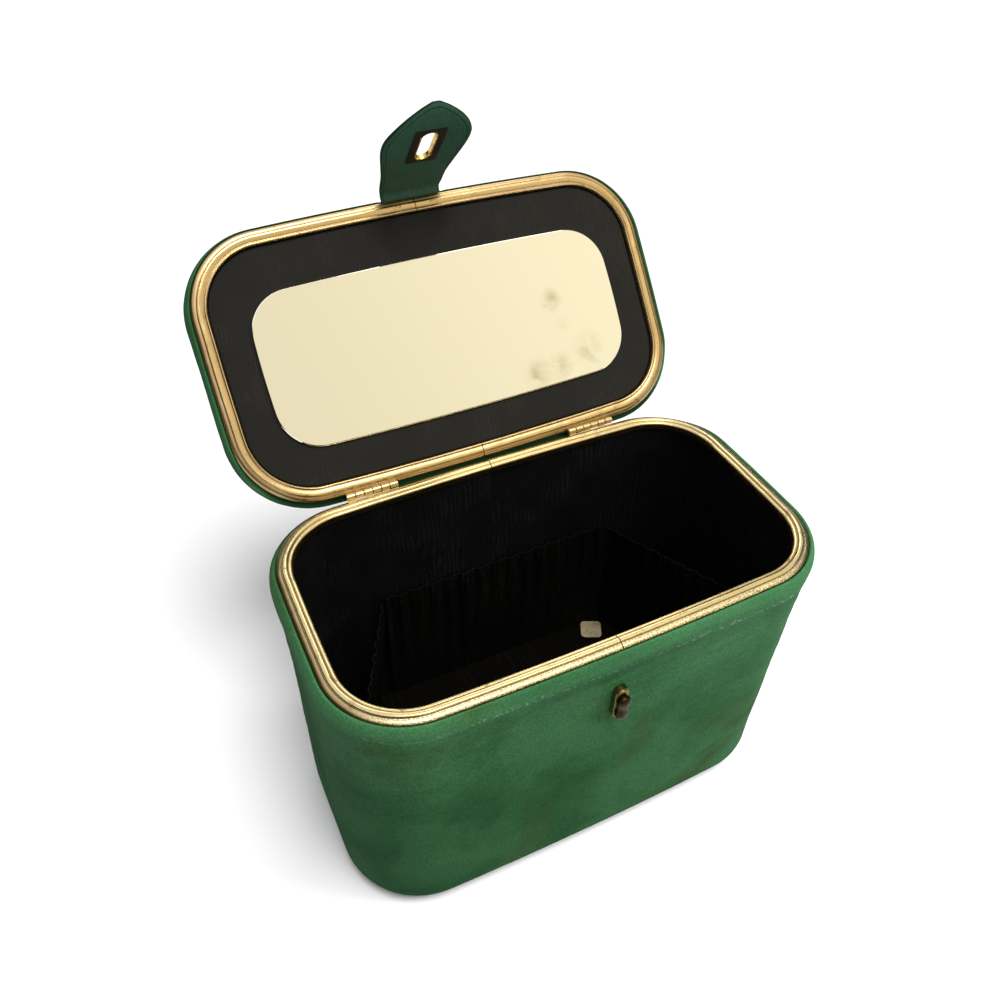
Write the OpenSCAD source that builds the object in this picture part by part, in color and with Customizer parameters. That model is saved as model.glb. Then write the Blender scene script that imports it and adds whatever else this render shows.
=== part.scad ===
// Cosmetic train case: a small hard-sided vanity case with a hinged lid, shown open.
// Origin at the middle of the underside, X across the width, front towards -Y, Z up.
// The lid pieces are drawn shut and then swung open by one module, and so are the closing tab
// and the carrying handle that hang on the lid.

/* [Case] */
// Width of the opening inside the metal rim
opening_w = 270; // [240:1:300]
// Depth of the opening inside the metal rim, front to back
opening_d = 144; // [130:1:160]
// Height of the body up to the edge where the rims meet
body_h = 198; // [170:1:230]
// Corner radius of the opening
corner_r = 36.7; // [32:0.1:40]
// Rise of the bowed front and back edges
long_bow = 3.2; // [2:0.1:4.5]
// Rise of the bowed end edges
short_bow = 1.3; // [0.8:0.1:2]
// How much further out each end stands at the foot than at the rim
foot_spread = 1; // [0:0.1:3]
// How much further in the front and back stand at the foot than at the rim
foot_draw = 3.6; // [2:0.1:4.5]
// Radius of the rolled edge between walls and base
base_roll_r = 16.7; // [14:0.1:19]

/* [Rims] */
// Width of each metal rim, seen from above
rim_w = 9.3; // [9:0.1:9.8]
// Height of the outer lip of a rim
rim_lip = 5.5; // [5.2:0.1:6]
// Height of the inner lip of a rim
rim_tail = 8; // [7:0.1:9]
// Thickness of the rim metal
rim_sheet = 0.9; // [0.7:0.05:1]
// Gap between the two rims when the lid is shut
seam_gap = 0.3; // [0.2:0.05:0.5]
// Gap where the two halves of a rim meet at the front and back
butt_gap = 0.3; // [0.2:0.05:0.5]

/* [Walls] */
// Thickness of the leather cover
leather_t = 1.2; // [1:0.05:1.3]
// Distance from the opening edge out to the face of the leather
leather_out = 11; // [10.9:0.05:11.4]
// Thickness of the stiff wall band
band_t = 6.7; // [6:0.05:6.8]
// Thickness of the cloth lining
lining_t = 1.4; // [1:0.1:1.4]
// How far the padded edge swells out at the ends
swell_ends = 2.8; // [2:0.1:3]
// How far the padded edge swells out at the front
swell_front = 2.2; // [1.8:0.1:2.3]
// How far the padded edge swells out at the back, under the hinges
swell_back = 1; // [0.6:0.1:1.1]
// Height of the padded swell
swell_h = 13; // [11:0.5:16]

/* [Base] */
// Thickness of the cover that the case stands on
base_cover_t = 1.5; // [1.2:0.1:1.8]
// Thickness of the floor of the base tray
tray_t = 6.2; // [5:0.1:7]
// Thickness of the pad under the floor board
floor_pad_t = 6.9; // [4:0.1:8]
// Thickness of the covered floor board
floor_board_t = 4.4; // [3:0.1:5]
// Side of the small blank label on the floor
label_w = 16; // [12:1:20]
// Thickness of the label
label_t = 0.5; // [0.3:0.1:1]
// Distance of the label's middle from the right edge of the opening
label_from_side = 58; // [50:1:80]
// Distance of the label's middle from the back edge of the opening
label_from_back = 16; // [16:1:30]

/* [Pockets] */
// Height of the gathered top of the pockets below the rim
pocket_drop = 75; // [60:1:100]
// Distance of the back pocket's top from the middle of the case
pocket_back_y = 62; // [58:0.5:63]
// Half length of the back pocket
pocket_half = 79; // [70:1:82]
// How far forward of the middle the side pockets are fixed
pocket_front_y = 35; // [20:1:38]
// Thickness of the pocket cloth
pocket_t = 0.8; // [0.6:0.1:1]
// Depth of the gathered folds at the top
fold_top = 1.8; // [1:0.1:2]
// Depth of the folds at the foot
fold_foot = 0.5; // [0.2:0.1:0.8]
// Length of one fold
fold_pitch = 11; // [9:0.5:16]

/* [Hinges] */
// Distance of each hinge's middle from the middle of the case
hinge_x = 74; // [62:1:82]
// Length of a hinge
hinge_len = 32; // [28:1:36]
// Radius of the knuckles
knuckle_r = 2; // [1.8:0.05:2.1]
// Radius of the hinge pin
hinge_pin_r = 0.8; // [0.7:0.05:0.9]
// Thickness of the leaves
leaf_t = 0.8; // [0.7:0.05:0.8]
// Radius of the nails through the leaves
nail_r = 0.7; // [0.5:0.05:0.8]
// How far the lid is swung back in the pose shown
lid_angle = 129.35; // [60:0.05:129.35]

/* [Lid] */
// Height of the lid above the edge where the rims meet
lid_h = 24.5; // [23:0.5:30]
// How far the lid's leather swells out beyond the rim
lid_swell = 5; // [4:0.1:5.2]
// Thickness of the padding between leather and shell
lid_pad_t = 1.6; // [1.2:0.1:2]
// Thickness of the wall of the lid shell
shell_t = 4; // [3:0.1:4.5]
// Width of the mirror
mirror_w = 231; // [200:1:240]
// Depth of the mirror
mirror_d = 95.4; // [80:0.1:100]
// Corner radius of the mirror
mirror_r = 26; // [18:1:30]
// Thickness of the mirror glass
mirror_t = 1.8; // [1.5:0.1:2]
// Height of the mirror panel's face above the rim's edge
panel_v = 3; // [2.8:0.1:3.5]
// Thickness of the mirror panel
panel_t = 2; // [1.5:0.1:2.5]
// How far the mirror sits towards the hinges
mirror_shift = 2.5; // [0:0.1:4]

/* [Tab] */
// Width of the tab at its root
tab_root_w = 37.5; // [30:0.5:40]
// Largest width of the tab
tab_w = 52.8; // [44:0.2:60]
// Length of the tab from its bend to its point
tab_l = 78.5; // [74:0.5:84]
// Distance of the bend in front of the opening edge
tab_bend_out = 15.4; // [15.4:0.1:16]
// Height of the bend above the rim's edge
tab_bend_v = 3.5; // [3.4:0.05:3.6]
// Thickness of the tab's leather
tab_leather_t = 1.3; // [1:0.1:1.4]
// Thickness of the tab's lining
tab_lining_t = 0.5; // [0.4:0.05:0.5]
// Thickness of the dark patch round the slot
tab_patch_t = 0.4; // [0.3:0.05:0.4]
// Thickness of the metal plate on the outside
tab_plate_t = 0.7; // [0.5:0.05:0.7]
// Width of the patch and of the plate
tab_plate_w = 19; // [16:0.5:24]
// Length of the patch and of the plate
tab_plate_l = 31.5; // [30:0.5:36]
// Angle of the tab below the lid's plane in the pose shown
tab_rest_angle = 79; // [40:1:88]

/* [Turn lock] */
// Width of the collar
collar_w = 8; // [7:0.5:8.5]
// Height of the collar
collar_l = 25; // [22:0.5:26]
// How far the collar stands out of the leather
collar_h = 4.5; // [4.5:0.1:5.5]
// Distance of the lock below the rim's edge
lock_drop = 42.5; // [41:0.1:44]
// Clearance of the slot all round the collar
slot_clear = 0.7; // [0.6:0.05:0.9]
// Width of the turning knob
knob_w = 8; // [6.5:0.5:8]
// Length of the turning knob
knob_l = 20; // [16:0.5:22]
// Thickness of the turning knob at its middle
knob_t = 3.6; // [3:0.1:4.5]
// Radius of the knob's shaft
knob_shaft_r = 1.7; // [1.4:0.05:1.9]
// Width of the lock plate under the leather
lock_plate_w = 18; // [16:0.5:20]
// Length of the lock plate
lock_plate_l = 33; // [32:0.5:36]

/* [Handle] */
// Distance between the middles of the handle's posts
handle_span = 104; // [90:1:120]
// Height of the handle's pivots above the lid
handle_pivot_h = 7.5; // [7:0.1:9]
// Distance from the pivots to the middle of the grip
handle_reach = 30; // [26:0.5:36]
// Radius of the grip in its middle
grip_r = 6.5; // [5:0.1:6.8]
// Radius of the grip at its ends
grip_end_r = 5.2; // [4.5:0.1:5.4]
// Radius of the stiff core inside the grip
core_r = 2.6; // [2:0.1:3]
// Radius of the handle's pins
handle_pin_r = 1.5; // [1.3:0.05:1.6]
// Thickness of each post's ear and of each arm
ear_t = 3; // [2.5:0.1:3.5]

/* [Hidden] */
// Overrun of every cut past the faces that it opens
cut = 1;
// Clearance between pieces that lie beside each other
lie = 0.25;
// Clearance between layers that are glued
glue = 0.1;
// Radial clearance of a turning pin in its bore
run = 0.05;
round_fn = 48;

// Steps along a quarter of the outline: half a long side, a corner, half an end
long_steps = 3;
corner_steps = 7;
short_steps = 2;
roll_steps = 6;

// Rim sections. Each row: share of the rim's width, share of its outer lip, and how many
// metal thicknesses the point lies in from the face along the width and along the height.
body_rim_shares = [
  [0, 0.4, 0, 0], [0.08, 0.2, 0, 0], [0.22, 0.16, 0, 0], [0.26, 0.2, 0, 0], [0.31, 0.07, 0, 0],
  [0.4, 0, 0, 0], [0.54, 0, 0, 0], [0.63, 0.09, 0, 0], [0.68, 0.27, 0, 0], [0.74, 0.26, 0, 0],
  [0.88, 0.34, 0, 0], [0.98, 0.5, 0, 0], [1, 0.72, 0, 0], [0.97, 1, 0, 0], [0.97, 1, -1, 0],
  [1, 0.42, -1, 0.9], [0.86, 0.34, -0.5, 1], [0.68, 0.27, 0, 1], [0.55, 0, 0, 1.1],
  [0.38, 0, 0, 1.1], [0.1, 0.22, 0.6, 1], [0, 0.4, 1, 0.5]
];
lid_rim_shares = [
  [0, 0.3, 0, 0], [0.04, 0.1, 0, 0], [0.12, 0, 0, 0], [0.2, 0.1, 0, 0], [0.23, 0.17, 0, 0],
  [0.3, 0.1, 0, 0], [0.5, 0.04, 0, 0], [0.61, 0.08, 0, 0], [0.65, 0.2, 0, 0], [0.72, 0.19, 0, 0],
  [0.86, 0.26, 0, 0], [0.97, 0.44, 0, 0], [1, 0.7, 0, 0], [0.97, 1, 0, 0], [0.97, 1, -1, 0],
  [1, 0.4, -1, 0.9], [0.84, 0.26, -0.5, 1], [0.65, 0.2, 0, 1], [0.6, 0.08, -0.5, 1.1],
  [0.32, 0.08, 0, 1.1], [0.14, 0.1, 0.3, 1], [0, 0.3, 1, 0.5]
];
// Padded swell of the side cover. Each row: share of the swell outwards, share of its height.
swell_shares = [
  [0.1, 0], [0.75, 0.14], [1, 0.34], [0.95, 0.56], [0.5, 0.8], [0, 1]
];
// Padded lid in section. Each row: share of the swell beyond the rim, share of the height.
lid_side_shares = [
  [0.06, 0.016], [0.46, 0.06], [0.86, 0.155], [1, 0.28], [0.98, 0.4], [0.78, 0.55],
  [0.34, 0.71], [-0.36, 0.84], [-1.46, 0.935], [-3.4, 0.985]
];
// Distance in from the opening edge where the lid's flat top starts
lid_flat_in = 30;
// Outline of the tab. Each row: share of its length, share of its half width.
tab_shares = [
  [0.2, 0.72], [0.31, 0.82], [0.45, 0.93], [0.55, 0.985], [0.63, 1], [0.7, 0.955],
  [0.8, 0.79], [0.89, 0.53], [0.96, 0.24], [1, 0.05]
];
// Share of the swell at which the folds of the pockets stand at their foot, in the cloth's height
fold_rows_share = [0, 0.12, 0.45, 0.8, 1];

// Layers out from the opening edge
lining_in = rim_sheet + lie;
lining_out = lining_in + lining_t;
band_in = lining_out + lie;
band_out = band_in + band_t;
leather_in = leather_out - leather_t;
// The wall is thinner inside the rim's channel, so that the hinge leaves fit beside it
neck_out = 6.2;
channel_top = rim_lip * 0.27 + rim_sheet + lie;
neck_h = rim_lip + lie;

// Heights
rim_z = body_h;
lid_z = body_h + seam_gap;
hinge_y = opening_d / 2 + rim_w - lie;
hinge_z = body_h + seam_gap / 2;
roll_z = base_roll_r;
roll_u = leather_out - base_roll_r;
// The rolled edge of the cover ends this far round the roll, just clear of the ground
roll_end = 80;
tray_top_z = base_cover_t + tray_t;
floor_pad_z = tray_top_z;
floor_board_z = floor_pad_z + floor_pad_t;
floor_z = floor_board_z + floor_board_t;
knuckle_count = 6;
leaf_inset = 2.45;
leaf_drop = rim_lip * 0.34 + rim_sheet + 2 * lie;
notch_r = 4.2;
lock_z = body_h - lock_drop;

// Points of an outline with bowed sides and round corners, as [point, outward normal] pairs.
// o holds half width, half depth, corner radius, rise of the long sides, rise of the ends.
function arc_pts(c, r, a0, a1, n, last = 0) = [
  for (i = [0 : n - 1 + last])
    let (t = a0 + (a1 - a0) * i / n)
      [c + r * [cos(t), sin(t)], [cos(t), sin(t)]]
];
function bow_radius(half, rise) = (half * half + rise * rise) / (2 * rise);
function corner_centre(c1, p, c2, q) =
  let (d = c2 - c1, l = norm(d), e = d / l, t = (l * l + p * p - q * q) / (2 * l))
    c1 + t * e + sqrt(p * p - t * t) * [e.y, -e.x];
function quarter(o) =
  let (
    r1 = bow_radius(o[0], o[3]), r2 = bow_radius(o[1], o[4]),
    c1 = [0, o[1] - r1], c2 = [o[0] - r2, 0],
    cc = corner_centre(c1, r1 - o[2], c2, r2 - o[2]),
    a1 = atan2(cc.y - c1.y, cc.x - c1.x), a2 = atan2(cc.y - c2.y, cc.x - c2.x)
  )
    concat(
      arc_pts(c1, r1, 90, a1, long_steps),
      arc_pts(cc, o[2], a1, a2, corner_steps),
      arc_pts(c2, r2, a2, 0, short_steps, 1)
    );
// The right half, clockwise from the middle of the back to the middle of the front
function right_half(o) =
  let (q = quarter(o), n = len(q))
    concat(q, [for (i = [n - 2 : -1 : 0]) [[q[i][0].x, -q[i][0].y], [q[i][1].x, -q[i][1].y]]]);
function full_loop(o) =
  let (h = right_half(o), n = len(h))
    concat(h, [for (i = [n - 2 : -1 : 1]) [[-h[i][0].x, h[i][0].y], [-h[i][1].x, h[i][1].y]]]);

rim_outline = [opening_w / 2, opening_d / 2, corner_r, long_bow, short_bow];
foot_outline = [
  opening_w / 2 + foot_spread, opening_d / 2 - foot_draw, corner_r + foot_draw, long_bow, short_bow
];
rim_loop = full_loop(rim_outline);
foot_loop = full_loop(foot_outline);
loop_n = len(rim_loop);
half_n = loop_n / 2 + 1;

// How far the walls have drawn in at height z: 0 at the rim, 1 at the foot
function draw_in(z) = min(max((body_h - neck_h - z) / (body_h - neck_h), 0), 1);
// Swell of the padded edge at point i of the loop
function swell_at(i) =
  let (n = rim_loop[i][1])
    swell_ends * n.x * n.x + (n.y > 0 ? swell_back : swell_front) * n.y * n.y;
// A point of the walls: place i of the loop, u outwards from the opening edge, height z
function wall_pt(i, u, z) =
  let (
    t = draw_in(z), a = rim_loop[i], b = foot_loop[i],
    p = (1 - t) * (a[0] + u * a[1]) + t * (b[0] + u * b[1])
  )
    [p.x, p.y, z];

// Each section row is [u, z] or [u, z, share of the swell added to u]
function section_pt(i, s) = wall_pt(i, s[0] + (len(s) > 2 ? s[2] * swell_at(i) : 0), s[1]);
// Triangles between neighbouring sections a and b, each of m points, closed or open
function band_faces(a, b, m, closed) = [
  for (k = [0 : m - (closed ? 1 : 2)])
    let (k2 = (k + 1) % m, p = a * m + k, q = a * m + k2, r = b * m + k2, s = b * m + k)
      each [[p, q, r], [p, r, s]]
];

// A closed section carried all the way round the case
module ring(section) {
  m = len(section);
  pts = [for (i = [0 : loop_n - 1]) for (s = section) section_pt(i, s)];
  polyhedron(pts, [for (i = [0 : loop_n - 1]) each band_faces(i, (i + 1) % loop_n, m, true)]);
}

// A cup or lid: an open section that starts and ends at the middle of the case
module cup(section) {
  m = len(section);
  z0 = section[0][1];
  z1 = section[m - 1][1];
  pts = concat(
    [for (i = [0 : loop_n - 1]) for (s = section) section_pt(i, s)],
    [[0, 0, z0], [0, 0, z1]]
  );
  c0 = loop_n * m;
  faces = concat(
    [for (i = [0 : loop_n - 1]) each band_faces(i, (i + 1) % loop_n, m, false)],
    [
      for (i = [0 : loop_n - 1])
        let (j = (i + 1) % loop_n)
          each [[c0, i * m, j * m], [c0 + 1, j * m + m - 1, i * m + m - 1]]
    ]
  );
  polyhedron(pts, faces);
}

// A closed section carried round half of the case, with flat ends beside the middle.
// side is 1 for the right half and -1 for the left half.
module half_ring(section, side) {
  m = len(section);
  raw = [
    for (i = [0 : half_n - 1])
      for (s = section)
        let (p = section_pt(i, s))
          [i == 0 || i == half_n - 1 ? butt_gap / 2 : p.x, p.y, p.z]
  ];
  pts = [for (p = raw) [side * p.x, p.y, p.z]];
  last = (half_n - 1) * m;
  faces = concat(
    [for (i = [0 : half_n - 2]) each band_faces(i, i + 1, m, true)],
    [[for (k = [m - 1 : -1 : 0]) k]],
    [[for (k = [0 : m - 1]) last + k]]
  );
  polyhedron(pts, side > 0 ? faces : [for (f = faces) [for (k = [len(f) - 1 : -1 : 0]) f[k]]]);
}

// A flat board between two heights, u out from the opening edge
module slab(u, z, t) {
  translate([0, 0, z])
    linear_extrude(t) polygon([for (i = [0 : loop_n - 1]) let (p = wall_pt(i, u, z)) [p.x, p.y]]);
}

// Points of a rounded rectangle about the origin
function rounded(w, l, r, n) = [
  for (c = [[1, 1, 0], [-1, 1, 90], [-1, -1, 180], [1, -1, 270]])
    for (i = [0 : n])
      let (t = c[2] + 90 * i / n)
        [c[0] * (w / 2 - r) + r * cos(t), c[1] * (l / 2 - r) + r * sin(t)]
];

// A section path moved in from its outer side by d
function inset(path, d) = [
  for (i = [0 : len(path) - 1])
    let (
      a = path[max(i - 1, 0)], b = path[min(i + 1, len(path) - 1)],
      t = [b[0] - a[0], b[1] - a[1]], n = [-t.y, t.x] / norm(t)
    )
      [path[i][0] + d * n.x, path[i][1] + d * n.y, len(path[i]) > 2 ? path[i][2] : 0]
];
function flipped(path) = [for (i = [len(path) - 1 : -1 : 0]) path[i]];

function rim_section(shares, z, way) = concat(
  [[0, z - way * rim_tail]],
  [for (s = shares) [s[0] * rim_w + s[2] * rim_sheet, z - way * (s[1] * rim_lip + s[3] * rim_sheet)]],
  [[rim_sheet, z - way * rim_tail]]
);

// Swings a lid piece, drawn shut, to the pose shown
module on_lid() {
  translate([0, hinge_y, hinge_z])
    rotate([-lid_angle, 0, 0])
      translate([0, -hinge_y, -hinge_z]) children();
}

// The tab's bend, drawn on the shut lid
tab_y = -(opening_d / 2 + tab_bend_out);
tab_z = lid_z + tab_bend_v;
tab_barrel_r = 1.4;
// Swings a tab piece, drawn hanging straight down from its bend at the origin
module on_tab() {
  on_lid()
    translate([0, tab_y, tab_z]) rotate([tab_rest_angle - 90, 0, 0]) children();
}

// Swings a handle piece, drawn upright from its pivots, so that it hangs straight down
handle_z = lid_z + lid_h + handle_pivot_h;
module on_handle() {
  on_lid()
    translate([0, 0, handle_z]) rotate([lid_angle - 180, 0, 0]) children();
}

// Body pieces
module body_band() {
  color("burlywood")
    difference() {
      ring([
        [band_in, rim_z - channel_top], [neck_out, rim_z - channel_top],
        [neck_out, leather_top_z - leather_t - glue], [band_out, leather_top_z - leather_t - glue],
        [band_out, roll_z], [band_in, roll_z]
      ]);
      at_lock() lock_recess();
    }
}

leather_top_z = rim_z - rim_lip - lie;
cover_edge_out = rim_w * 0.97;
swell_path = [
  for (s = swell_shares) [leather_out, leather_top_z - s[1] * swell_h, s[0]]
];
function roll_path(r, a_end) = [
  for (i = [0 : roll_steps])
    let (t = a_end * i / roll_steps)
      [roll_u + r * cos(t), roll_z - r * sin(t)]
];
module side_cover() {
  color("seagreen")
    ring(concat(
      [[cover_edge_out, leather_top_z]],
      swell_path,
      roll_path(base_roll_r, roll_end),
      flipped(roll_path(base_roll_r - leather_t, roll_end)),
      flipped([for (i = [1 : len(swell_path) - 1]) [leather_in, swell_path[i][1], swell_path[i][2]]]),
      [
        [leather_in, leather_top_z - leather_t, swell_shares[0][0]],
        [cover_edge_out, leather_top_z - leather_t]
      ]
    ));
}

module edge_padding() {
  color("linen")
    ring(concat(
      [[band_out + glue, leather_top_z - leather_t - lie]],
      [for (i = [1 : len(swell_path) - 2]) [leather_in - 2 * glue, swell_path[i][1], swell_path[i][2]]],
      [[band_out + glue, swell_path[len(swell_path) - 1][1]]]
    ));
}

module base_cover() {
  color("darkgreen") slab(roll_u + (base_roll_r - leather_t) * cos(roll_end) - lie, 0, base_cover_t);
}

module base_tray() {
  tray_r = band_out - roll_u;
  tray_edge_z = roll_z - glue;
  color("tan")
    cup(concat(
      [[-lid_flat_in, tray_top_z], [band_in, tray_top_z], [band_in, tray_edge_z], [band_out, tray_edge_z]],
      [
        for (i = [1 : roll_steps])
          let (t = 90 * i / roll_steps)
            [roll_u + tray_r * cos(t), tray_edge_z - (tray_edge_z - base_cover_t) * sin(t)]
      ],
      [[-lid_flat_in, base_cover_t]]
    ));
}

module body_lining() {
  color("black")
    ring([
      [lining_in, rim_z - channel_top], [lining_out, rim_z - channel_top],
      [lining_out, floor_board_z + lie], [lining_in, floor_board_z + lie]
    ]);
}

floor_u = lining_in - lie - glue;
module floor_pad() {
  color("dimgray") slab(floor_u, floor_pad_z, floor_pad_t);
}

module floor_board() {
  color("black") slab(floor_u, floor_board_z, floor_board_t);
}

module blank_label() {
  color("beige")
    translate([opening_w / 2 - label_from_side, opening_d / 2 - label_from_back, floor_z])
      linear_extrude(label_t) polygon(rounded(label_w, label_w, label_w / 8, 3));
}

// A gathered cloth standing between a foot line and a top line, with upright folds that
// are deep at the gathered top and shallow at the foot
pocket_top_z = body_h - pocket_drop;
pocket_foot_z = floor_z + lie;
module gathered(foot_a, foot_b, top_a, top_b) {
  folds = max(round(norm(top_b - top_a) / fold_pitch), 2);
  cols = folds * 4;
  rows = len(fold_rows_share);
  m = rows * 2;
  side = (top_b - top_a) / norm(top_b - top_a);
  out = [side.y, -side.x];
  pts = [
    for (i = [0 : cols])
      for (k = [0 : m - 1])
        let (
          j = k < rows ? k : m - 1 - k, h = fold_rows_share[j], s = i / cols,
          foot = (1 - s) * foot_a + s * foot_b, top = (1 - s) * top_a + s * top_b,
          depth = (fold_foot + (fold_top - fold_foot) * h) * (0.75 + 0.25 * cos(360 * s * 3)),
          wave = depth * cos(360 * folds * s),
          skin = k < rows ? pocket_t / 2 : -pocket_t / 2,
          p = (1 - h) * foot + h * top + (wave + skin) * out
        )
          [p.x, p.y, (1 - h) * pocket_foot_z + h * pocket_top_z]
  ];
  last = cols * m;
  polyhedron(pts, concat(
    [for (i = [0 : cols - 1]) each band_faces(i, i + 1, m, true)],
    [for (k = [1 : m - 2]) [0, k + 1, k]],
    [for (k = [1 : m - 2]) [last, last + k, last + k + 1]]
  ));
}

pocket_gap = 2.6;
corner_top = [pocket_half + pocket_gap, pocket_back_y - pocket_gap];
corner_foot = [pocket_half + pocket_gap * 4, pocket_back_y + pocket_gap];
front_top = [opening_w / 2 - pocket_gap * 2, -pocket_front_y];
front_foot = [opening_w / 2 - pocket_gap, -pocket_front_y - pocket_gap];
module pocket_back() {
  bow = long_bow * pow(2 * pocket_half / opening_w, 2);
  foot_y = opening_d / 2 - foot_draw - lie - fold_foot - pocket_t - bow;
  color("black")
    gathered(
      [-pocket_half, foot_y], [pocket_half, foot_y],
      [-pocket_half, pocket_back_y], [pocket_half, pocket_back_y]
    );
}

module pocket_side(side) {
  color("black")
    gathered(
      [side * corner_foot.x, corner_foot.y], [side * front_foot.x, front_foot.y],
      [side * corner_top.x, corner_top.y], [side * front_top.x, front_top.y]
    );
}

module hinge_notches(side) {
  translate([side * hinge_x - hinge_len / 2 - lie, hinge_y, hinge_z])
    rotate([0, 90, 0]) cylinder(h = hinge_len + 2 * lie, r = notch_r, $fn = round_fn);
}

module body_rim(side) {
  color("gold")
    difference() {
      half_ring(rim_section(body_rim_shares, rim_z, 1), side);
      hinge_notches(side);
    }
}

// Turn lock. Children are drawn with the wall's face at y = 0, outwards to -y, centre at origin.
wall_tilt = atan(foot_draw / (body_h - neck_h));
module at_lock() {
  translate([0, -(opening_d / 2 + leather_out - foot_draw * draw_in(lock_z)), lock_z])
    rotate([wall_tilt, 0, 0]) children();
}
lock_plate_t = 1;
lock_band_y = leather_out - band_out;
module lock_recess() {
  translate([-lock_plate_w / 2 - lie, lock_band_y - cut, -lock_plate_l / 2 - lie])
    cube([lock_plate_w + 2 * lie, cut + lock_plate_t + lie, lock_plate_l + 2 * lie]);
}
rivet_r = 1;
rivet_at = collar_l / 2 - collar_w / 2 + rivet_r / 2;
module lock_plate() {
  color("silver")
    at_lock()
      difference() {
        translate([-lock_plate_w / 2, lock_band_y + glue, -lock_plate_l / 2])
          cube([lock_plate_w, lock_plate_t, lock_plate_l]);
        for (s = [-1, 1])
          translate([0, lock_band_y - cut, s * rivet_at])
            rotate([-90, 0, 0]) cylinder(h = lock_plate_t + 2 * cut, r = rivet_r + run, $fn = round_fn);
      }
}

// Stadium of width w and length l, upright in the wall's plane, from y0 outwards by t
module stadium(w, l, y0, t) {
  translate([0, y0, 0])
    rotate([90, 0, 0])
      linear_extrude(t) union() {
        square([w, l - w], center = true);
        for (s = [-1, 1]) translate([0, s * (l - w) / 2]) circle(r = w / 2, $fn = round_fn);
      }
}

shaft_head_r = knob_shaft_r * 1.6;
shaft_head_t = 1.2;
collar_step = 0.8;
module lock_collar() {
  color("gold")
    at_lock()
      difference() {
        union() {
          stadium(collar_w, collar_l, -glue, collar_h - collar_step - glue);
          stadium(collar_w - collar_step, collar_l - collar_step, -glue, collar_h - glue);
        }
        translate([0, cut, 0])
          rotate([90, 0, 0]) cylinder(h = collar_h + 2 * cut, r = knob_shaft_r + run, $fn = round_fn);
        translate([0, cut, 0])
          rotate([90, 0, 0])
            cylinder(h = cut + glue + shaft_head_t + lie, r = shaft_head_r + lie, $fn = round_fn);
        for (s = [-1, 1])
          translate([0, cut, s * rivet_at])
            rotate([90, 0, 0]) cylinder(h = collar_h / 2 + cut, r = rivet_r + run, $fn = round_fn);
      }
}

module lock_rivets() {
  color("goldenrod")
    at_lock()
      for (s = [-1, 1])
        translate([0, lock_band_y + glue + lock_plate_t, s * rivet_at])
          rotate([90, 0, 0])
            cylinder(h = lock_band_y + lock_plate_t + collar_h / 2 - glue, r = rivet_r, $fn = round_fn);
}

module turn_knob() {
  crown_r = knob_l * 1.1;
  color("gold")
    at_lock()
      union() {
        intersection() {
          stadium(knob_w, knob_l, -collar_h - lie, knob_t + cut);
          translate([0, -collar_h - lie - knob_t + crown_r, 0]) sphere(r = crown_r, $fn = round_fn);
        }
        translate([0, -glue - lie, 0])
          rotate([90, 0, 0]) cylinder(h = collar_h + knob_t / 2, r = knob_shaft_r, $fn = round_fn);
        translate([0, -glue - lie / 2, 0])
          rotate([90, 0, 0]) cylinder(h = shaft_head_t, r = shaft_head_r, $fn = round_fn);
      }
}

// Hinges. A leaf is a flat plate inside the rim's channel and three knuckles on short webs.
// way is -1 for the body's leaf, which hangs down, and 1 for the lid's.
knuckle_step = hinge_len / knuckle_count;
plate_h = rim_lip - leaf_drop - glue;
module hinge_leaf(side, way) {
  first = way < 0 ? 0 : 1;
  plate_y = hinge_y - leaf_inset - leaf_t;
  plate_z = hinge_z + way * (leaf_drop + seam_gap / 2);
  // Each web runs from its knuckle to the middle of the plate's nearer edge
  web = [leaf_inset + leaf_t / 2, leaf_drop + seam_gap / 2 + leaf_t / 2];
  web_start = knuckle_r - leaf_t / 2;
  difference() {
    union() {
      translate([side * hinge_x - hinge_len / 2, plate_y, way < 0 ? plate_z - plate_h : plate_z])
        cube([hinge_len, leaf_t, plate_h]);
      for (k = [first : 2 : knuckle_count - 1])
        translate([side * hinge_x - hinge_len / 2 + k * knuckle_step + glue, hinge_y, hinge_z]) {
          rotate([0, 90, 0]) cylinder(h = knuckle_step - 2 * glue, r = knuckle_r, $fn = round_fn);
          rotate([way * (180 - atan2(web.y, web.x)), 0, 0])
            translate([0, web_start, -leaf_t / 2])
              cube([knuckle_step - 2 * glue, norm(web) - web_start, leaf_t]);
        }
    }
    translate([side * hinge_x - hinge_len / 2 - cut, hinge_y, hinge_z])
      rotate([0, 90, 0]) cylinder(h = hinge_len + 2 * cut, r = hinge_pin_r + run, $fn = round_fn);
    for (s = nail_shares)
      translate([side * hinge_x + s * hinge_len, plate_y - cut, plate_z + way * plate_h / 2])
        rotate([-90, 0, 0]) cylinder(h = leaf_t + 2 * cut, r = nail_r + run, $fn = round_fn);
  }
}
// Places of the nails along a leaf, as shares of its length
nail_shares = [-0.4, 0, 0.4];
nail_len = 4;

module hinge_nails(way) {
  plate_z = hinge_z + way * (leaf_drop + seam_gap / 2);
  for (side = [-1, 1]) for (s = nail_shares)
    translate([side * hinge_x + s * hinge_len, hinge_y - leaf_inset, plate_z + way * plate_h / 2])
      rotate([90, 0, 0]) cylinder(h = nail_len, r = nail_r, $fn = round_fn);
}

module hinge_pin(side) {
  color("goldenrod")
    translate([side * hinge_x - hinge_len / 2, hinge_y, hinge_z])
      rotate([0, 90, 0]) cylinder(h = hinge_len, r = hinge_pin_r, $fn = round_fn);
}

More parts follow.
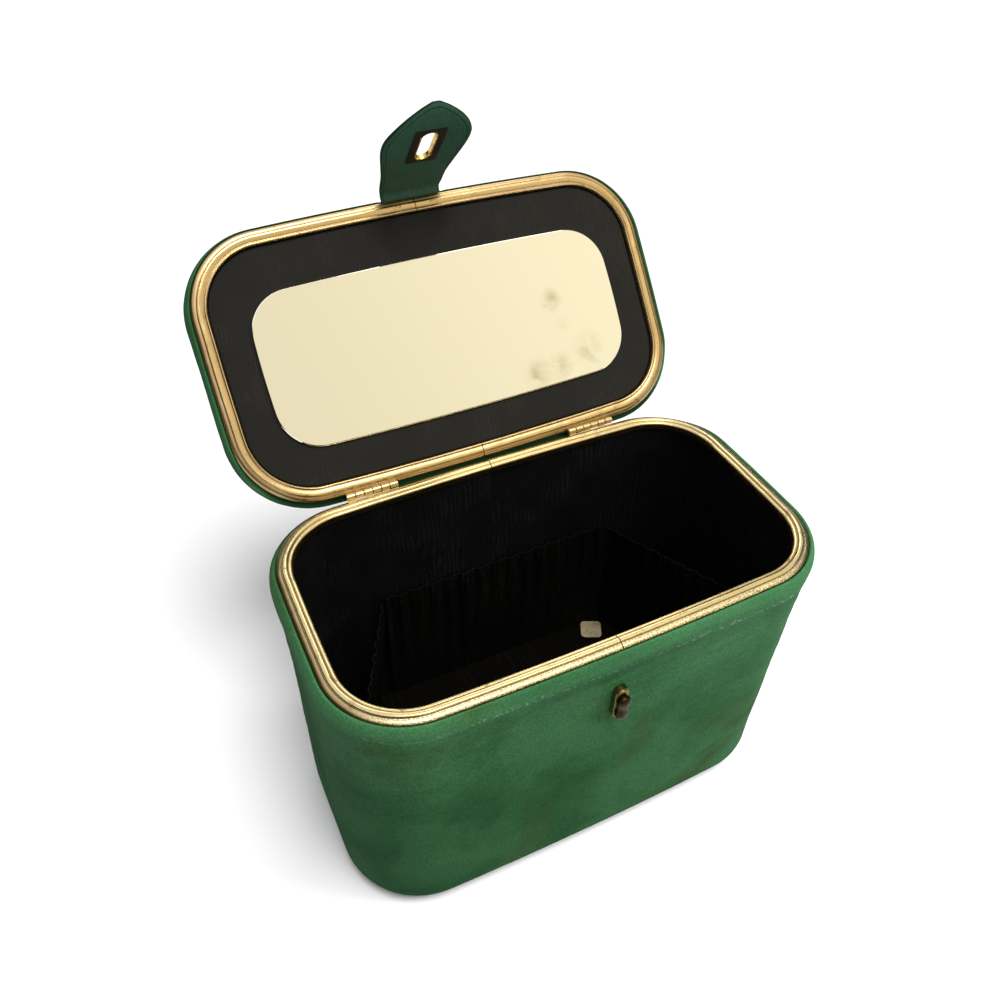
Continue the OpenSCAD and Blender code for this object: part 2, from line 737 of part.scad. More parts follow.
// Lid pieces
module lid_rim(side) {
  color("gold")
    on_lid()
      difference() {
        half_ring(flipped(rim_section(lid_rim_shares, lid_z, -1)), side);
        hinge_notches(side);
        // The tab comes out between the lip and the leather, so its slot is open to the lip's edge
        translate([-tab_root_w / 2 - lie, -opening_d / 2 - rim_w - cut, tab_z - tab_root_t / 2 - lie])
          cube([tab_root_w + 2 * lie, rim_sheet * 2 + cut, rim_lip + cut]);
      }
}

lid_rise = lid_h - rim_lip - lie;
lid_path = concat(
  [for (s = lid_side_shares) [rim_w + s[0] * lid_swell, lid_z + rim_lip + lie + s[1] * lid_rise]],
  [[-lid_flat_in, lid_z + lid_h]]
);
module lid_skin(outer, inner) {
  cup(concat(flipped(outer), inner));
}
module lid_cover() {
  color("seagreen") on_lid() lid_skin(lid_path, inset(lid_path, leather_t));
}

module lid_padding() {
  color("linen")
    on_lid() lid_skin(inset(lid_path, leather_t + glue), inset(lid_path, leather_t + glue + lid_pad_t));
}

backer_top_v = lid_h - leather_t - lid_pad_t - shell_t - 2 * glue;
module lid_shell() {
  under_padding = inset(lid_path, leather_t + lid_pad_t + 2 * glue);
  color("burlywood")
    on_lid()
      cup(concat(
        flipped([for (p = under_padding) if (p[1] > lid_z + rim_lip + leather_t) p]),
        [[neck_out, lid_z + neck_h + leather_t], [neck_out, lid_z + channel_top]],
        [[band_in, lid_z + channel_top], [band_in, lid_z + backer_top_v]],
        [[-lid_flat_in, lid_z + backer_top_v]]
      ));
}

panel_u = -lie;
module mirror_backer() {
  color("gray") on_lid() slab(panel_u, lid_z + panel_v + panel_t, backer_top_v - panel_v - panel_t);
}

module mirror_panel() {
  color("black") on_lid() slab(panel_u, lid_z + panel_v, panel_t);
}

module mirror() {
  o = [mirror_w / 2, mirror_d / 2, mirror_r, long_bow * 0.7, short_bow * 1.6];
  color("ivory")
    on_lid()
      translate([0, mirror_shift, lid_z + panel_v - mirror_t])
        linear_extrude(mirror_t) polygon([for (p = full_loop(o)) p[0]]);
}

// The stub of the tab, from inside the lid rim's channel to just short of the bend
tab_root_t = 1.8;
module tab_root() {
  inner_y = -(opening_d / 2 + neck_out + lie);
  outer_y = tab_y + tab_barrel_r + lie;
  color("seagreen")
    on_lid()
      translate([-tab_root_w / 2, outer_y, tab_z - tab_root_t / 2])
        cube([tab_root_w, inner_y - outer_y, tab_root_t]);
}

module handle_post(side) {
  color("gold")
    on_lid()
      difference() {
        union() {
          translate([side * handle_span / 2, 0, lid_z + lid_h])
            linear_extrude(post_base_t) polygon(rounded(post_w, post_l, post_w / 4, 4));
          translate([side * handle_span / 2 - ear_t / 2, -ear_half, lid_z + lid_h])
            cube([ear_t, 2 * ear_half, handle_pivot_h]);
          translate([side * handle_span / 2 - ear_t / 2, 0, handle_z])
            rotate([0, 90, 0]) cylinder(h = ear_t, r = ear_half, $fn = round_fn);
        }
        translate([side * handle_span / 2 - ear_t / 2 - cut, 0, handle_z])
          rotate([0, 90, 0]) cylinder(h = ear_t + 2 * cut, r = handle_pin_r + run, $fn = round_fn);
        for (s = [-1, 1])
          translate([side * handle_span / 2, s * post_rivet_at, lid_z + lid_h - cut])
            cylinder(h = post_base_t + 2 * cut, r = rivet_r + run, $fn = round_fn);
      }
}
post_w = 11;
post_l = 26;
post_base_t = 1.4;
post_rivet_at = 9;
ear_half = 4;

module handle_rivets() {
  color("goldenrod")
    on_lid()
      for (side = [-1, 1]) for (s = [-1, 1])
        translate([side * handle_span / 2, s * post_rivet_at, lid_z + backer_top_v + shell_t / 2])
          cylinder(h = lid_h - backer_top_v - shell_t / 2 + post_base_t, r = rivet_r, $fn = round_fn);
}

// The arms stand inside the ears, and the pins run through both
arm_x = handle_span / 2 - ear_t - lie;
module handle_pin(side) {
  color("goldenrod")
    on_lid()
      translate([side > 0 ? arm_x - ear_t / 2 - lie : -handle_span / 2 - ear_t / 2, 0, handle_z])
        rotate([0, 90, 0])
          cylinder(h = handle_span / 2 + ear_t - arm_x + lie, r = handle_pin_r, $fn = round_fn);
}

cap_l = 7;
grip_half = arm_x - ear_t / 2;
module handle_end(side) {
  color("gold")
    on_handle()
      difference() {
        union() {
          translate([side * arm_x - ear_t / 2, 0, 0])
            rotate([0, 90, 0]) cylinder(h = ear_t, r = ear_half, $fn = round_fn);
          translate([side * arm_x - ear_t / 2, -ear_half, 0]) cube([ear_t, 2 * ear_half, handle_reach]);
          translate([side * arm_x - ear_t / 2, 0, handle_reach])
            rotate([0, 90, 0]) cylinder(h = ear_t, r = grip_end_r + rim_sheet, $fn = round_fn);
          translate([side > 0 ? grip_half - cap_l : -grip_half, 0, handle_reach])
            rotate([0, 90, 0]) cylinder(h = cap_l, r = grip_end_r + rim_sheet, $fn = round_fn);
        }
        translate([side * arm_x - ear_t / 2 - cut, 0, 0])
          rotate([0, 90, 0]) cylinder(h = ear_t + 2 * cut, r = handle_pin_r + run, $fn = round_fn);
        translate([side > 0 ? grip_half - cap_l - cut : -grip_half, 0, handle_reach])
          rotate([0, 90, 0]) cylinder(h = cap_l + cut, r = grip_end_r + run, $fn = round_fn);
      }
}

// The grip is turned about its own length: plain ends in the caps and a fuller middle
module handle_grip() {
  half = grip_half - glue;
  shoulder = half - cap_l;
  color("seagreen")
    on_handle()
      translate([0, 0, handle_reach])
        rotate([0, 90, 0])
          rotate_extrude($fn = round_fn)
            polygon(concat(
              [[core_r + run, -half], [grip_end_r, -half], [grip_end_r, -shoulder]],
              [
                for (i = [-5 : 5])
                  let (s = i / 5.5, r = grip_end_r + (grip_r - grip_end_r) * (1 - s * s) + lie)
                    [r, s * shoulder]
              ],
              [[grip_end_r, shoulder], [grip_end_r, half], [core_r + run, half]]
            ));
}

module handle_core() {
  color("silver")
    on_handle()
      translate([-grip_half + glue, 0, handle_reach])
        rotate([0, 90, 0]) cylinder(h = 2 * (grip_half - glue), r = core_r, $fn = round_fn);
}

// Tab pieces, drawn hanging from the bend with the lining towards the case
tab_outline = concat(
  [for (s = tab_shares) [s[1] * tab_w / 2, -s[0] * tab_l]],
  [for (s = flipped(tab_shares)) [-s[1] * tab_w / 2, -s[0] * tab_l]]
);
tab_closed_tilt = 3.1;
slot_at = (lock_drop + tab_bend_v + seam_gap) / cos(tab_closed_tilt);
tab_face_y = tab_leather_t * 0.4;
// One layer of the tab between y0 and y0 + t, with the slot cut through
module tab_layer(points, y0, t) {
  difference() {
    translate([0, y0 + t, 0]) rotate([90, 0, 0]) linear_extrude(t) polygon(points);
    translate([0, 0, -slot_at])
      stadium(collar_w + 2 * slot_clear, collar_l + 2 * slot_clear, y0 + t + cut, t + 2 * cut);
  }
}
module tab_leather() {
  root = [[-tab_root_w / 2, -tab_barrel_r / 2], [tab_root_w / 2, -tab_barrel_r / 2]];
  color("seagreen")
    on_tab()
      union() {
        tab_layer(concat(root, tab_outline), tab_face_y - tab_leather_t, tab_leather_t);
        translate([-tab_root_w / 2, 0, 0])
          rotate([0, 90, 0]) cylinder(h = tab_root_w, r = tab_barrel_r, $fn = round_fn);
      }
}

// The lining stops short of the leather's edge
edge_in = 1.2;
function shrink(points, d) = [for (p = points) [p.x - sign(p.x) * d, p.y + d * 2 * -p.y / tab_l]];
module tab_lining() {
  top = tab_barrel_r + lie;
  root = [[-tab_root_w / 2 + edge_in, -top], [tab_root_w / 2 - edge_in, -top]];
  color("darkgreen")
    on_tab() tab_layer(concat(root, shrink(tab_outline, edge_in)), tab_face_y, tab_lining_t);
}

patch_outline = [
  for (p = rounded(tab_plate_w, tab_plate_l, edge_in, 2)) [p.x, p.y - slot_at]
];
module tab_patch() {
  color("black") on_tab() tab_layer(patch_outline, tab_face_y + tab_lining_t, tab_patch_t);
}

module tab_plate() {
  color("gold") on_tab() tab_layer(patch_outline, tab_face_y - tab_leather_t - tab_plate_t, tab_plate_t);
}

body_band();
side_cover();
base_cover();
base_tray();
body_lining();
floor_pad();
floor_board();
blank_label();
pocket_back();
pocket_side(-1);  // pocket_left
pocket_side(1);  // pocket_right
body_rim(-1);  // body_rim_left
body_rim(1);  // body_rim_right
edge_padding();
lock_plate();
lock_collar();
lock_rivets();
color("gold") hinge_leaf(-1, -1);  // hinge_leaf_body_left
color("gold") hinge_leaf(1, -1);  // hinge_leaf_body_right
hinge_pin(-1);  // hinge_pin_left
hinge_pin(1);  // hinge_pin_right
color("goldenrod") hinge_nails(-1);  // hinge_nails_body
lid_rim(-1);  // lid_rim_left
lid_rim(1);  // lid_rim_right
lid_shell();
lid_padding();
lid_cover();
mirror_backer();
mirror_panel();
mirror();
tab_root();
color("gold") on_lid() hinge_leaf(-1, 1);  // hinge_leaf_lid_left
color("gold") on_lid() hinge_leaf(1, 1);  // hinge_leaf_lid_right
color("goldenrod") on_lid() hinge_nails(1);  // hinge_nails_lid
handle_post(-1);  // handle_post_left
handle_post(1);  // handle_post_right
handle_pin(-1);  // handle_pin_left
handle_pin(1);  // handle_pin_right
handle_rivets();
tab_leather();
tab_lining();
tab_patch();
tab_plate();
turn_knob();
handle_grip();
handle_core();
handle_end(-1);  // handle_end_left
handle_end(1);  // handle_end_right
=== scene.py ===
# %% [markdown]
# # A green leather train case, standing open
# The case is a small hard box with a hinged lid. Metal rims close on each other where lid and body
# meet, the walls are leather over board, and the inside is black watered cloth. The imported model
# is loaded first, as a fixed frame: each piece below takes its place from it and rides on its body.

import math

import bmesh
import bpy
import numpy as np
from mathutils import Matrix, Vector


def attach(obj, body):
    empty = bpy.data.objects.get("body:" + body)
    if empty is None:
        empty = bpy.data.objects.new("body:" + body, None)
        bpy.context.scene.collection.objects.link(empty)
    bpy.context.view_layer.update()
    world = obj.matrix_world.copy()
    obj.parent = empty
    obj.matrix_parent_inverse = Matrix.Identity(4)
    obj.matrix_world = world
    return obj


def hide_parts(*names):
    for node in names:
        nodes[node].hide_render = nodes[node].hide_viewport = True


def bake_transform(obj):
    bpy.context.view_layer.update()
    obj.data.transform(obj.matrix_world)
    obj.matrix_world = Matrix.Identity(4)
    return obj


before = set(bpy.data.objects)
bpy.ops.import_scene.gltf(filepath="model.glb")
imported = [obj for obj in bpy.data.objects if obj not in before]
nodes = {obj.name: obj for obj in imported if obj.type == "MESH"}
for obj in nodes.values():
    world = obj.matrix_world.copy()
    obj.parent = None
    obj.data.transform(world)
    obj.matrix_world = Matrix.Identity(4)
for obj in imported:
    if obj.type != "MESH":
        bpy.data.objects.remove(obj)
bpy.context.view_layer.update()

# %% [markdown]
# ## The camera
# The photograph looks down at the case from the front left. Its place was found by fitting the
# corners of the rims. A camera is set by three directions at right angles: to its right, up, and
# back towards the photographer. The roll turns the first two about the third.

# %% Place the camera
AZIMUTH, ELEVATION, ROLL = (math.radians(a) for a in (-26.49, 42.44, 0.99))
back = Vector((
    math.sin(AZIMUTH) * math.cos(ELEVATION),
    -math.cos(AZIMUTH) * math.cos(ELEVATION),
    math.sin(ELEVATION),
))
level_right = (-back).cross(Vector((0, 0, 1))).normalized()
level_up = level_right.cross(-back)
cam_right = math.cos(ROLL) * level_right + math.sin(ROLL) * level_up
cam_up = -math.sin(ROLL) * level_right + math.cos(ROLL) * level_up
camera = bpy.data.objects.new("camera", bpy.data.cameras.new("camera"))
camera.data.sensor_width = 36
camera.data.lens = 895.5 / 1000 * camera.data.sensor_width
camera.matrix_world = Matrix.Translation((-0.1818, -0.3043, 0.5515)) @ Matrix(
    (cam_right, cam_up, back)
).transposed().to_4x4()
bpy.context.scene.collection.objects.link(camera)
bpy.context.scene.camera = camera
print("lens", round(camera.data.lens, 2), "mm")

# %% [markdown]
# ## Sizes
# The sizes of the real case are in millimetres, because that is how such a case is measured.
# Blender works in metres, so every mesh is scaled as it is made. The lid's pieces are drawn shut
# and then swung open about the hinge, the tab hangs on the lid, and so does the handle.

# %% Name the sizes
MM = 0.001
BODY_H, SEAM, LIE = 198.0, 0.3, 0.25
RIM_W, RIM_LIP, RIM_SHEET = 9.3, 5.5, 0.9
LEATHER_OUT, LEATHER_T = 11.0, 1.2
SWELL_ENDS, SWELL_FRONT, SWELL_BACK, SWELL_H = 2.8, 2.2, 1.0, 13.0
ROLL_R = 16.7
LID_ANGLE, LID_H = 129.35, 24.5
LID_Z = BODY_H + SEAM
HALF_W, HALF_D, CORNER_R, LONG_BOW, SHORT_BOW = 135, 72, 36.7, 3.2, 1.3  # the opening
FOOT_SPREAD, FOOT_DRAW, FOOT_CORNER_R = 1, 3.6, 40.3  # the foot is longer, but drawn in
TOP_Z = BODY_H - RIM_LIP - LIE  # where the leather meets the rim
LOCK_DOWN, TAB_UP, MIRROR_Y = 42.5, 3.5, 2.5
HINGE_Y, HINGE_Z, HINGE_X, HINGE_LEN = 81.05, BODY_H + SEAM / 2, 74.0, 32.0
FLOOR_Z = 19.0
TAB_Y, TAB_Z, TAB_REST = -87.4, LID_Z + TAB_UP, 79.0
HANDLE_Z = LID_Z + LID_H + 7.5


# %% Matrices that swing the lid, the tab and the handle
def shift(x, y, z):
    return Matrix.Translation((x, y, z))


def turn_x(degrees):
    return Matrix.Rotation(math.radians(degrees), 4, "X")


ON_LID = shift(0, HINGE_Y, HINGE_Z) @ turn_x(-LID_ANGLE) @ shift(0, -HINGE_Y, -HINGE_Z)
ON_TAB = ON_LID @ shift(0, TAB_Y, TAB_Z) @ turn_x(TAB_REST - 90)
ON_HANDLE = ON_LID @ shift(0, 0, HANDLE_Z) @ turn_x(LID_ANGLE - 180)
WALL_TILT = math.degrees(math.atan(FOOT_DRAW / TOP_Z))
LOCK_Z = BODY_H - LOCK_DOWN
LOCK_Y = -(HALF_D + LEATHER_OUT - FOOT_DRAW * (TOP_Z - LOCK_Z) / TOP_Z)
AT_LOCK = shift(0, LOCK_Y, LOCK_Z) @ turn_x(WALL_TILT)
print("tab's bend, open:", [round(v, 2) for v in ON_TAB.translation])


# %% [markdown]
# ## Helpers for mesh code
# Most pieces of this case follow one closed outline: a rectangle with bowed sides and round
# corners. A section is carried round that outline, as a moulding is run round a picture frame.
# The outline is made once, with a point where each arc starts, and with the direction outwards.

# %% The outline
def arc_points(centre, radius, angles):
    a = np.radians(angles)
    way = np.stack([np.cos(a), np.sin(a)], 1)
    return np.array(centre) + radius * way, way


def quarter(half_w, half_d, corner, rise_long, rise_short, shares, corner_steps, end_steps):
    """Points and outward directions from the middle of the back to the middle of an end."""
    r1 = (half_w**2 + rise_long**2) / (2 * rise_long)
    r2 = (half_d**2 + rise_short**2) / (2 * rise_short)
    c1, c2 = np.array([0, half_d - r1]), np.array([half_w - r2, 0])
    p, q = r1 - corner, r2 - corner
    d = c2 - c1
    length = np.linalg.norm(d)
    e = d / length
    t = (length**2 + p * p - q * q) / (2 * length)
    cc = c1 + t * e + math.sqrt(p * p - t * t) * np.array([e[1], -e[0]])
    a1 = math.degrees(math.atan2(*(cc - c1)[::-1]))
    a2 = math.degrees(math.atan2(*(cc - c2)[::-1]))
    runs = [
        arc_points(c1, r1, 90 + (a1 - 90) * np.asarray(shares)),
        arc_points(cc, corner, np.linspace(a1, a2, corner_steps + 1)[:-1]),
        arc_points(c2, r2, np.linspace(a2, 0, end_steps + 1)),
    ]
    return np.concatenate([r[0] for r in runs]), np.concatenate([r[1] for r in runs])


def whole_outline(*args):
    """The right half from back to front, then the left half from front to back."""
    points, ways = quarter(*args)
    flip_y, flip_x = np.array([1, -1]), np.array([-1, 1])
    right = np.concatenate([points, points[-2::-1] * flip_y])
    right_ways = np.concatenate([ways, ways[-2::-1] * flip_y])
    left, left_ways = right[-2:0:-1] * flip_x, right_ways[-2:0:-1] * flip_x
    return np.concatenate([right, left]), np.concatenate([right_ways, left_ways])


def long_shares(extra=(), steps=44):
    """Places along half a long side. The extra ones are given in millimetres from its middle."""
    half = 99.6
    return np.unique(np.round(np.concatenate([
        np.linspace(0, 1, steps + 1)[:-1], np.asarray(extra, float) / half
    ]), 6))


# %% [markdown]
# A mesh from a grid of points is the plainest way to make such a piece: each row of the grid is
# one station on the outline, and each column one point of the section. The UV map holds real
# millimetres along both ways, so that brushed streaks and threads come out at their true scale.

# %% Grid to mesh
def grid_faces(points, wrap_rows, wrap_columns):
    n, m = points.shape[:2]
    i, k = np.meshgrid(
        np.arange(n if wrap_rows else n - 1), np.arange(m if wrap_columns else m - 1), indexing="ij"
    )
    i2, k2 = (i + 1) % n, (k + 1) % m
    faces = np.stack([i * m + k, i2 * m + k, i2 * m + k2, i * m + k2], -1).reshape(-1, 4)
    rows = np.linalg.norm(np.roll(points, -1, 0) - points, axis=-1).max(1)
    columns = np.linalg.norm(np.roll(points, -1, 1) - points, axis=-1).mean(0)
    u, v = np.concatenate([[0], np.cumsum(rows)]), np.concatenate([[0], np.cumsum(columns)])
    uv = np.stack([
        np.stack([u[i], v[k]], -1), np.stack([u[i + 1], v[k]], -1),
        np.stack([u[i + 1], v[k + 1]], -1), np.stack([u[i], v[k + 1]], -1),
    ], 2).reshape(-1, 2)
    return faces, uv


def make_piece(name, points, faces, body, material, place=None, uv=None, sharp=40, masks=None):
    """A mesh object from points in millimetres. It is put in place, and rides on its body."""
    mesh = bpy.data.meshes.new(name)
    mesh.from_pydata((np.asarray(points).reshape(-1, 3) * MM).tolist(), [], [list(f) for f in faces])
    layer = mesh.uv_layers.new(name="UVMap")
    if uv is not None:
        full = np.zeros((len(mesh.loops), 2), np.float32)
        full[: len(uv)] = np.asarray(uv) * MM
        layer.data.foreach_set("uv", full.ravel())
    for mask, values in (masks or {}).items():
        mesh.attributes.new(mask, "FLOAT", "POINT").data.foreach_set(
            "value", np.asarray(values, np.float32).ravel()
        )
    if place is not None:
        scaled = place.copy()
        scaled.translation = place.translation * MM
        mesh.transform(scaled)
    work = bmesh.new()
    work.from_mesh(mesh)
    bmesh.ops.recalc_face_normals(work, faces=work.faces)
    work.to_mesh(mesh)
    work.free()
    mesh.shade_smooth()
    mesh.set_sharp_from_angle(angle=math.radians(sharp))
    mesh.materials.append(material)
    piece = bpy.data.objects.new(name, mesh)
    bpy.context.scene.collection.objects.link(piece)
    if body:
        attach(piece, body)
    return piece


# %% [markdown]
# Nothing on a used case is quite even. A soft, repeatable unevenness comes from a sum of a dozen
# sine waves in seeded random directions: it needs no texture, and it is the same in every run.

# %% Soft unevenness
def wobble(points, size, seed):
    """A smooth value from about -1 to 1 that changes over roughly size millimetres."""
    rng = np.random.default_rng(seed)
    p = np.asarray(points, float).reshape(-1, 3)
    total = np.zeros(len(p))
    for _ in range(12):
        way = rng.normal(size=3)
        way *= 2 * math.pi / (size * rng.uniform(0.7, 1.8)) / np.linalg.norm(way)
        total += np.sin(p @ way + rng.uniform(0, 2 * math.pi))
    return (total / 4).reshape(np.asarray(points).shape[:-1])


def smooth_step(x, low, high):
    t = np.clip((np.asarray(x, float) - low) / (high - low), 0, 1)
    return t * t * (3 - 2 * t)


def rounded_path(path, times=2):
    """Chaikin's corner cutting: each corner is cut at a quarter and three quarters."""
    p = np.asarray(path, float)
    for _ in range(times):
        a, b = p[:-1], p[1:]
        cut = np.stack([0.75 * a + 0.25 * b, 0.25 * a + 0.75 * b], 1).reshape(-1, p.shape[1])
        p = np.concatenate([p[:1], cut, p[-1:]])
    return p


def spaced_path(path, step):
    """The same path with points at most one step apart."""
    p = np.asarray(path, float)
    out = [p[:1]]
    for a, b in zip(p[:-1], p[1:]):
        n = max(1, math.ceil(np.linalg.norm((b - a)[:2]) / step))
        out.append(a + (b - a) * (np.arange(1, n + 1) / n)[:, None])
    return np.concatenate(out)


# %% [markdown]
# ## Finishes
# A few effects are shared by several finishes, so each is a shader node group with named inputs:
# leather grain, old gilding on brass, and watered cloth. A group gives only colours, masks and
# heights. The shader itself stays in each material, where its plain values can be read.

# %% Helpers for node trees
def add_node(tree, kind, settings=None, **inputs):
    """A node with its settings, and its inputs joined to sockets or set to values."""
    node = tree.nodes.new(kind)
    for key, value in (settings or {}).items():
        setattr(node, key, value)
    for key, value in inputs.items():
        name = key.replace("_", " ")
        socket = node.inputs[int(key[1:])] if key[0] == "i" and key[1:].isdigit() else node.inputs[name]
        if isinstance(value, bpy.types.NodeSocket):
            tree.links.new(value, socket)
        else:
            socket.default_value = value
    return node


def maths(tree, operation, a, b=0.5, c=0.5, clamp=False):
    return add_node(tree, "ShaderNodeMath", {"operation": operation, "use_clamp": clamp}, i0=a, i1=b,
                    i2=c).outputs[0]


def spread(tree, value, low, high, to_low=0.0, to_high=1.0):
    node = add_node(tree, "ShaderNodeMapRange", {"interpolation_type": "SMOOTHSTEP"},
                    i0=value, i1=low, i2=high, i3=to_low, i4=to_high)
    return node.outputs[0]


def mix_colour(tree, factor, a, b, blend="MIX"):
    node = tree.nodes.new("ShaderNodeMix")
    node.data_type, node.blend_type = "RGBA", blend
    for socket, value in ((node.inputs[0], factor), (node.inputs[6], a), (node.inputs[7], b)):
        if isinstance(value, bpy.types.NodeSocket):
            tree.links.new(value, socket)
        else:
            socket.default_value = value
    return node.outputs[2]


def noise(tree, vector, scale, detail=4.0, rough=0.55, distortion=0.0):
    return add_node(tree, "ShaderNodeTexNoise", None, Vector=vector, Scale=scale, Detail=detail,
                    Roughness=rough, Distortion=distortion).outputs[0]


def start_group(name, inputs, outputs):
    tree = bpy.data.node_groups.new(name, "ShaderNodeTree")
    for label, kind, value in inputs:
        socket = tree.interface.new_socket(label, in_out="INPUT", socket_type=kind)
        if value is not None:
            socket.default_value = value
    for label, kind in outputs:
        tree.interface.new_socket(label, in_out="OUTPUT", socket_type=kind)
    return tree, tree.nodes.new("NodeGroupInput").outputs, tree.nodes.new("NodeGroupOutput").inputs


FLOAT, COLOUR, VECTOR = "NodeSocketFloat", "NodeSocketColor", "NodeSocketVector"

# %% [markdown]
# **Leather grain.** The hide is finely pebbled, a cell about a millimetre wide, with soft pores.
# Cells come from a Voronoi pattern whose edges are the furrows, and the vector is pushed about
# by a noise first, so that no two cells match. The group also gives slow patches, for the places
# where the dye has browned or faded.

# %% Group: leather grain
grain, g_in, g_out = start_group(
    "leather grain",
    [("Vector", VECTOR, None), ("Cells", FLOAT, 820.0), ("Patch size", FLOAT, 14.0)],
    [("Height", FLOAT), ("Patches", FLOAT), ("Fine", FLOAT)],
)
push = add_node(grain, "ShaderNodeTexNoise", None, Vector=g_in["Vector"], Scale=420.0, Detail=2.0)
pushed = add_node(grain, "ShaderNodeVectorMath", {"operation": "MULTIPLY_ADD"},
                  i0=push.outputs[1], i1=(0.0009, 0.0009, 0.0009), i2=g_in["Vector"]).outputs[0]
cells = add_node(grain, "ShaderNodeTexVoronoi", {"feature": "SMOOTH_F1"},
                 Vector=pushed, Scale=g_in["Cells"], Smoothness=0.35).outputs[0]
pebble = spread(grain, cells, 0.15, 0.75, 1.0, 0.0)
fine = noise(grain, g_in["Vector"], 2600.0, 3.0)
creases = noise(grain, g_in["Vector"], 95.0, 5.0, 0.6, 0.6)
height = maths(grain, "MULTIPLY_ADD", pebble, 0.62, maths(grain, "MULTIPLY", fine, 0.2))
grain.links.new(maths(grain, "MULTIPLY_ADD", creases, 0.5, height), g_out["Height"])
grain.links.new(noise(grain, g_in["Vector"], g_in["Patch size"], 5.0, 0.6, 0.4), g_out["Patches"])
grain.links.new(fine, g_out["Fine"])

# %% [markdown]
# **Old gilding.** The rims were gilded brass. The metal is brown where it is low or turned
# outwards, bright on the crest, and worn to pale specks along the front. Fine streaks run along
# the rim, so this group reads the UV map, which counts millimetres along it, and squeezes its
# noise one way. Two masks kept on the mesh, low and rubbed, say where the brown and specks are.

# %% Group: old gilding
gilding, g_in, g_out = start_group(
    "old gilding",
    [("Vector", VECTOR, None), ("Low", FLOAT, 0.0), ("Rubbed", FLOAT, 0.0), ("Tarnish", FLOAT, 0.4),
     ("Bright", COLOUR, (0.86, 0.62, 0.30, 1)), ("Brown", COLOUR, (0.30, 0.17, 0.07, 1))],
    [("Color", COLOUR), ("Roughness", FLOAT), ("Height", FLOAT)],
)
along = add_node(gilding, "ShaderNodeMapping", None, Vector=g_in["Vector"],
                 Scale=(60.0, 1500.0, 1.0)).outputs[0]
streaks = noise(gilding, along, 1.0, 4.0, 0.6)
blots = noise(gilding, g_in["Vector"], 110.0, 6.0, 0.7, 0.6)
slow = noise(gilding, g_in["Vector"], 24.0, 3.0, 0.5, 0.3)
specks = noise(gilding, g_in["Vector"], 900.0, 3.0, 0.7)
pits = add_node(gilding, "ShaderNodeTexVoronoi", None, Vector=g_in["Vector"], Scale=300.0).outputs[0]
pin_gate = spread(gilding, noise(gilding, g_in["Vector"], 70.0, 2.0), 0.54, 0.62)
pinpricks = maths(gilding, "MULTIPLY", spread(gilding, pits, 0.05, 0.14, 1.0, 0.0), pin_gate)
brown = maths(gilding, "MULTIPLY", spread(gilding, blots, 0.52, 0.68), g_in["Tarnish"])
band = maths(gilding, "MULTIPLY", g_in["Low"], spread(gilding, slow, 0.25, 0.6, 0.55, 1.0))
dark = maths(gilding, "MAXIMUM", maths(gilding, "MAXIMUM", brown, pinpricks), band, clamp=True)
speck = maths(gilding, "MULTIPLY", spread(gilding, specks, 0.47, 0.56), g_in["Rubbed"])
dark = maths(gilding, "MULTIPLY", dark, maths(gilding, "SUBTRACT", 1.0, speck), clamp=True)
toned = mix_colour(gilding, dark, g_in["Bright"], g_in["Brown"])
gilding.links.new(mix_colour(gilding, maths(gilding, "MULTIPLY", speck, 0.7), toned,
                             (0.95, 0.88, 0.66, 1)), g_out["Color"])
gilding.links.new(maths(gilding, "MULTIPLY_ADD", dark, 0.2, maths(gilding, "MULTIPLY", streaks, 0.2)),
                  g_out["Roughness"])
rough_spots = maths(gilding, "MULTIPLY", maths(gilding, "MULTIPLY", specks, g_in["Rubbed"]), 2.5)
gilding.links.new(maths(gilding, "MULTIPLY_ADD", streaks, 0.25,
                        maths(gilding, "SUBTRACT", rough_spots, dark)), g_out["Height"])

# %% [markdown]
# ** Watered cloth.** Moiré is a ribbed cloth that was pressed on itself, so that its ribs lie in
# wandering contour lines. A wave pattern with a strong slow distortion gives those lines. They
# change the gloss, which is why they show best in a raking light, and the cloths below also paint
# them slightly lighter in colour, as painted sheen.

# %% Group: watered cloth
watered, g_in, g_out = start_group(
    "watered cloth",
    [("Vector", VECTOR, None), ("Ribs", FLOAT, 1500.0), ("Lines", FLOAT, 26.0)],
    [("Watering", FLOAT), ("Height", FLOAT)],
)
stretched = add_node(watered, "ShaderNodeMapping", None, Vector=g_in["Vector"],
                     Scale=(1.0, 0.3, 1.0)).outputs[0]
lines = add_node(watered, "ShaderNodeTexWave", {"bands_direction": "X"}, Vector=stretched,
                 Scale=g_in["Lines"],
                 Distortion=9.0, Detail=3.0, Detail_Scale=1.4, Detail_Roughness=0.6).outputs[1]
zones = spread(watered, noise(watered, g_in["Vector"], 22.0, 3.0), 0.42, 0.62)
watered.links.new(maths(watered, "MULTIPLY", spread(watered, lines, 0.45, 0.95), zones), g_out["Watering"])
ribs = add_node(watered, "ShaderNodeTexWave", {"bands_direction": "Y"}, Vector=g_in["Vector"],
                Scale=g_in["Ribs"], Distortion=1.2, Detail=1.0).outputs[1]
watered.links.new(ribs, g_out["Height"])
print("groups:", [g.name for g in bpy.data.node_groups])


# %% Start of every material
def start_material(name, **values):
    """A material with its Principled shader, and plain values on the shader's own sockets."""
    material = bpy.data.materials.new(name)
    material.use_nodes = True
    tree = material.node_tree
    shader = tree.nodes["Principled BSDF"]
    for key, value in values.items():
        shader.inputs[key.replace("_", " ")].default_value = value
    return material, tree, shader


def place_group(tree, group, **inputs):
    return add_node(tree, "ShaderNodeGroup", {"node_tree": group}, **inputs)


def bump(tree, shader, height, depth, strength=1.0):
    node = add_node(tree, "ShaderNodeBump", None, Height=height, Distance=depth, Strength=strength)
    tree.links.new(node.outputs[0], shader.inputs["Normal"])


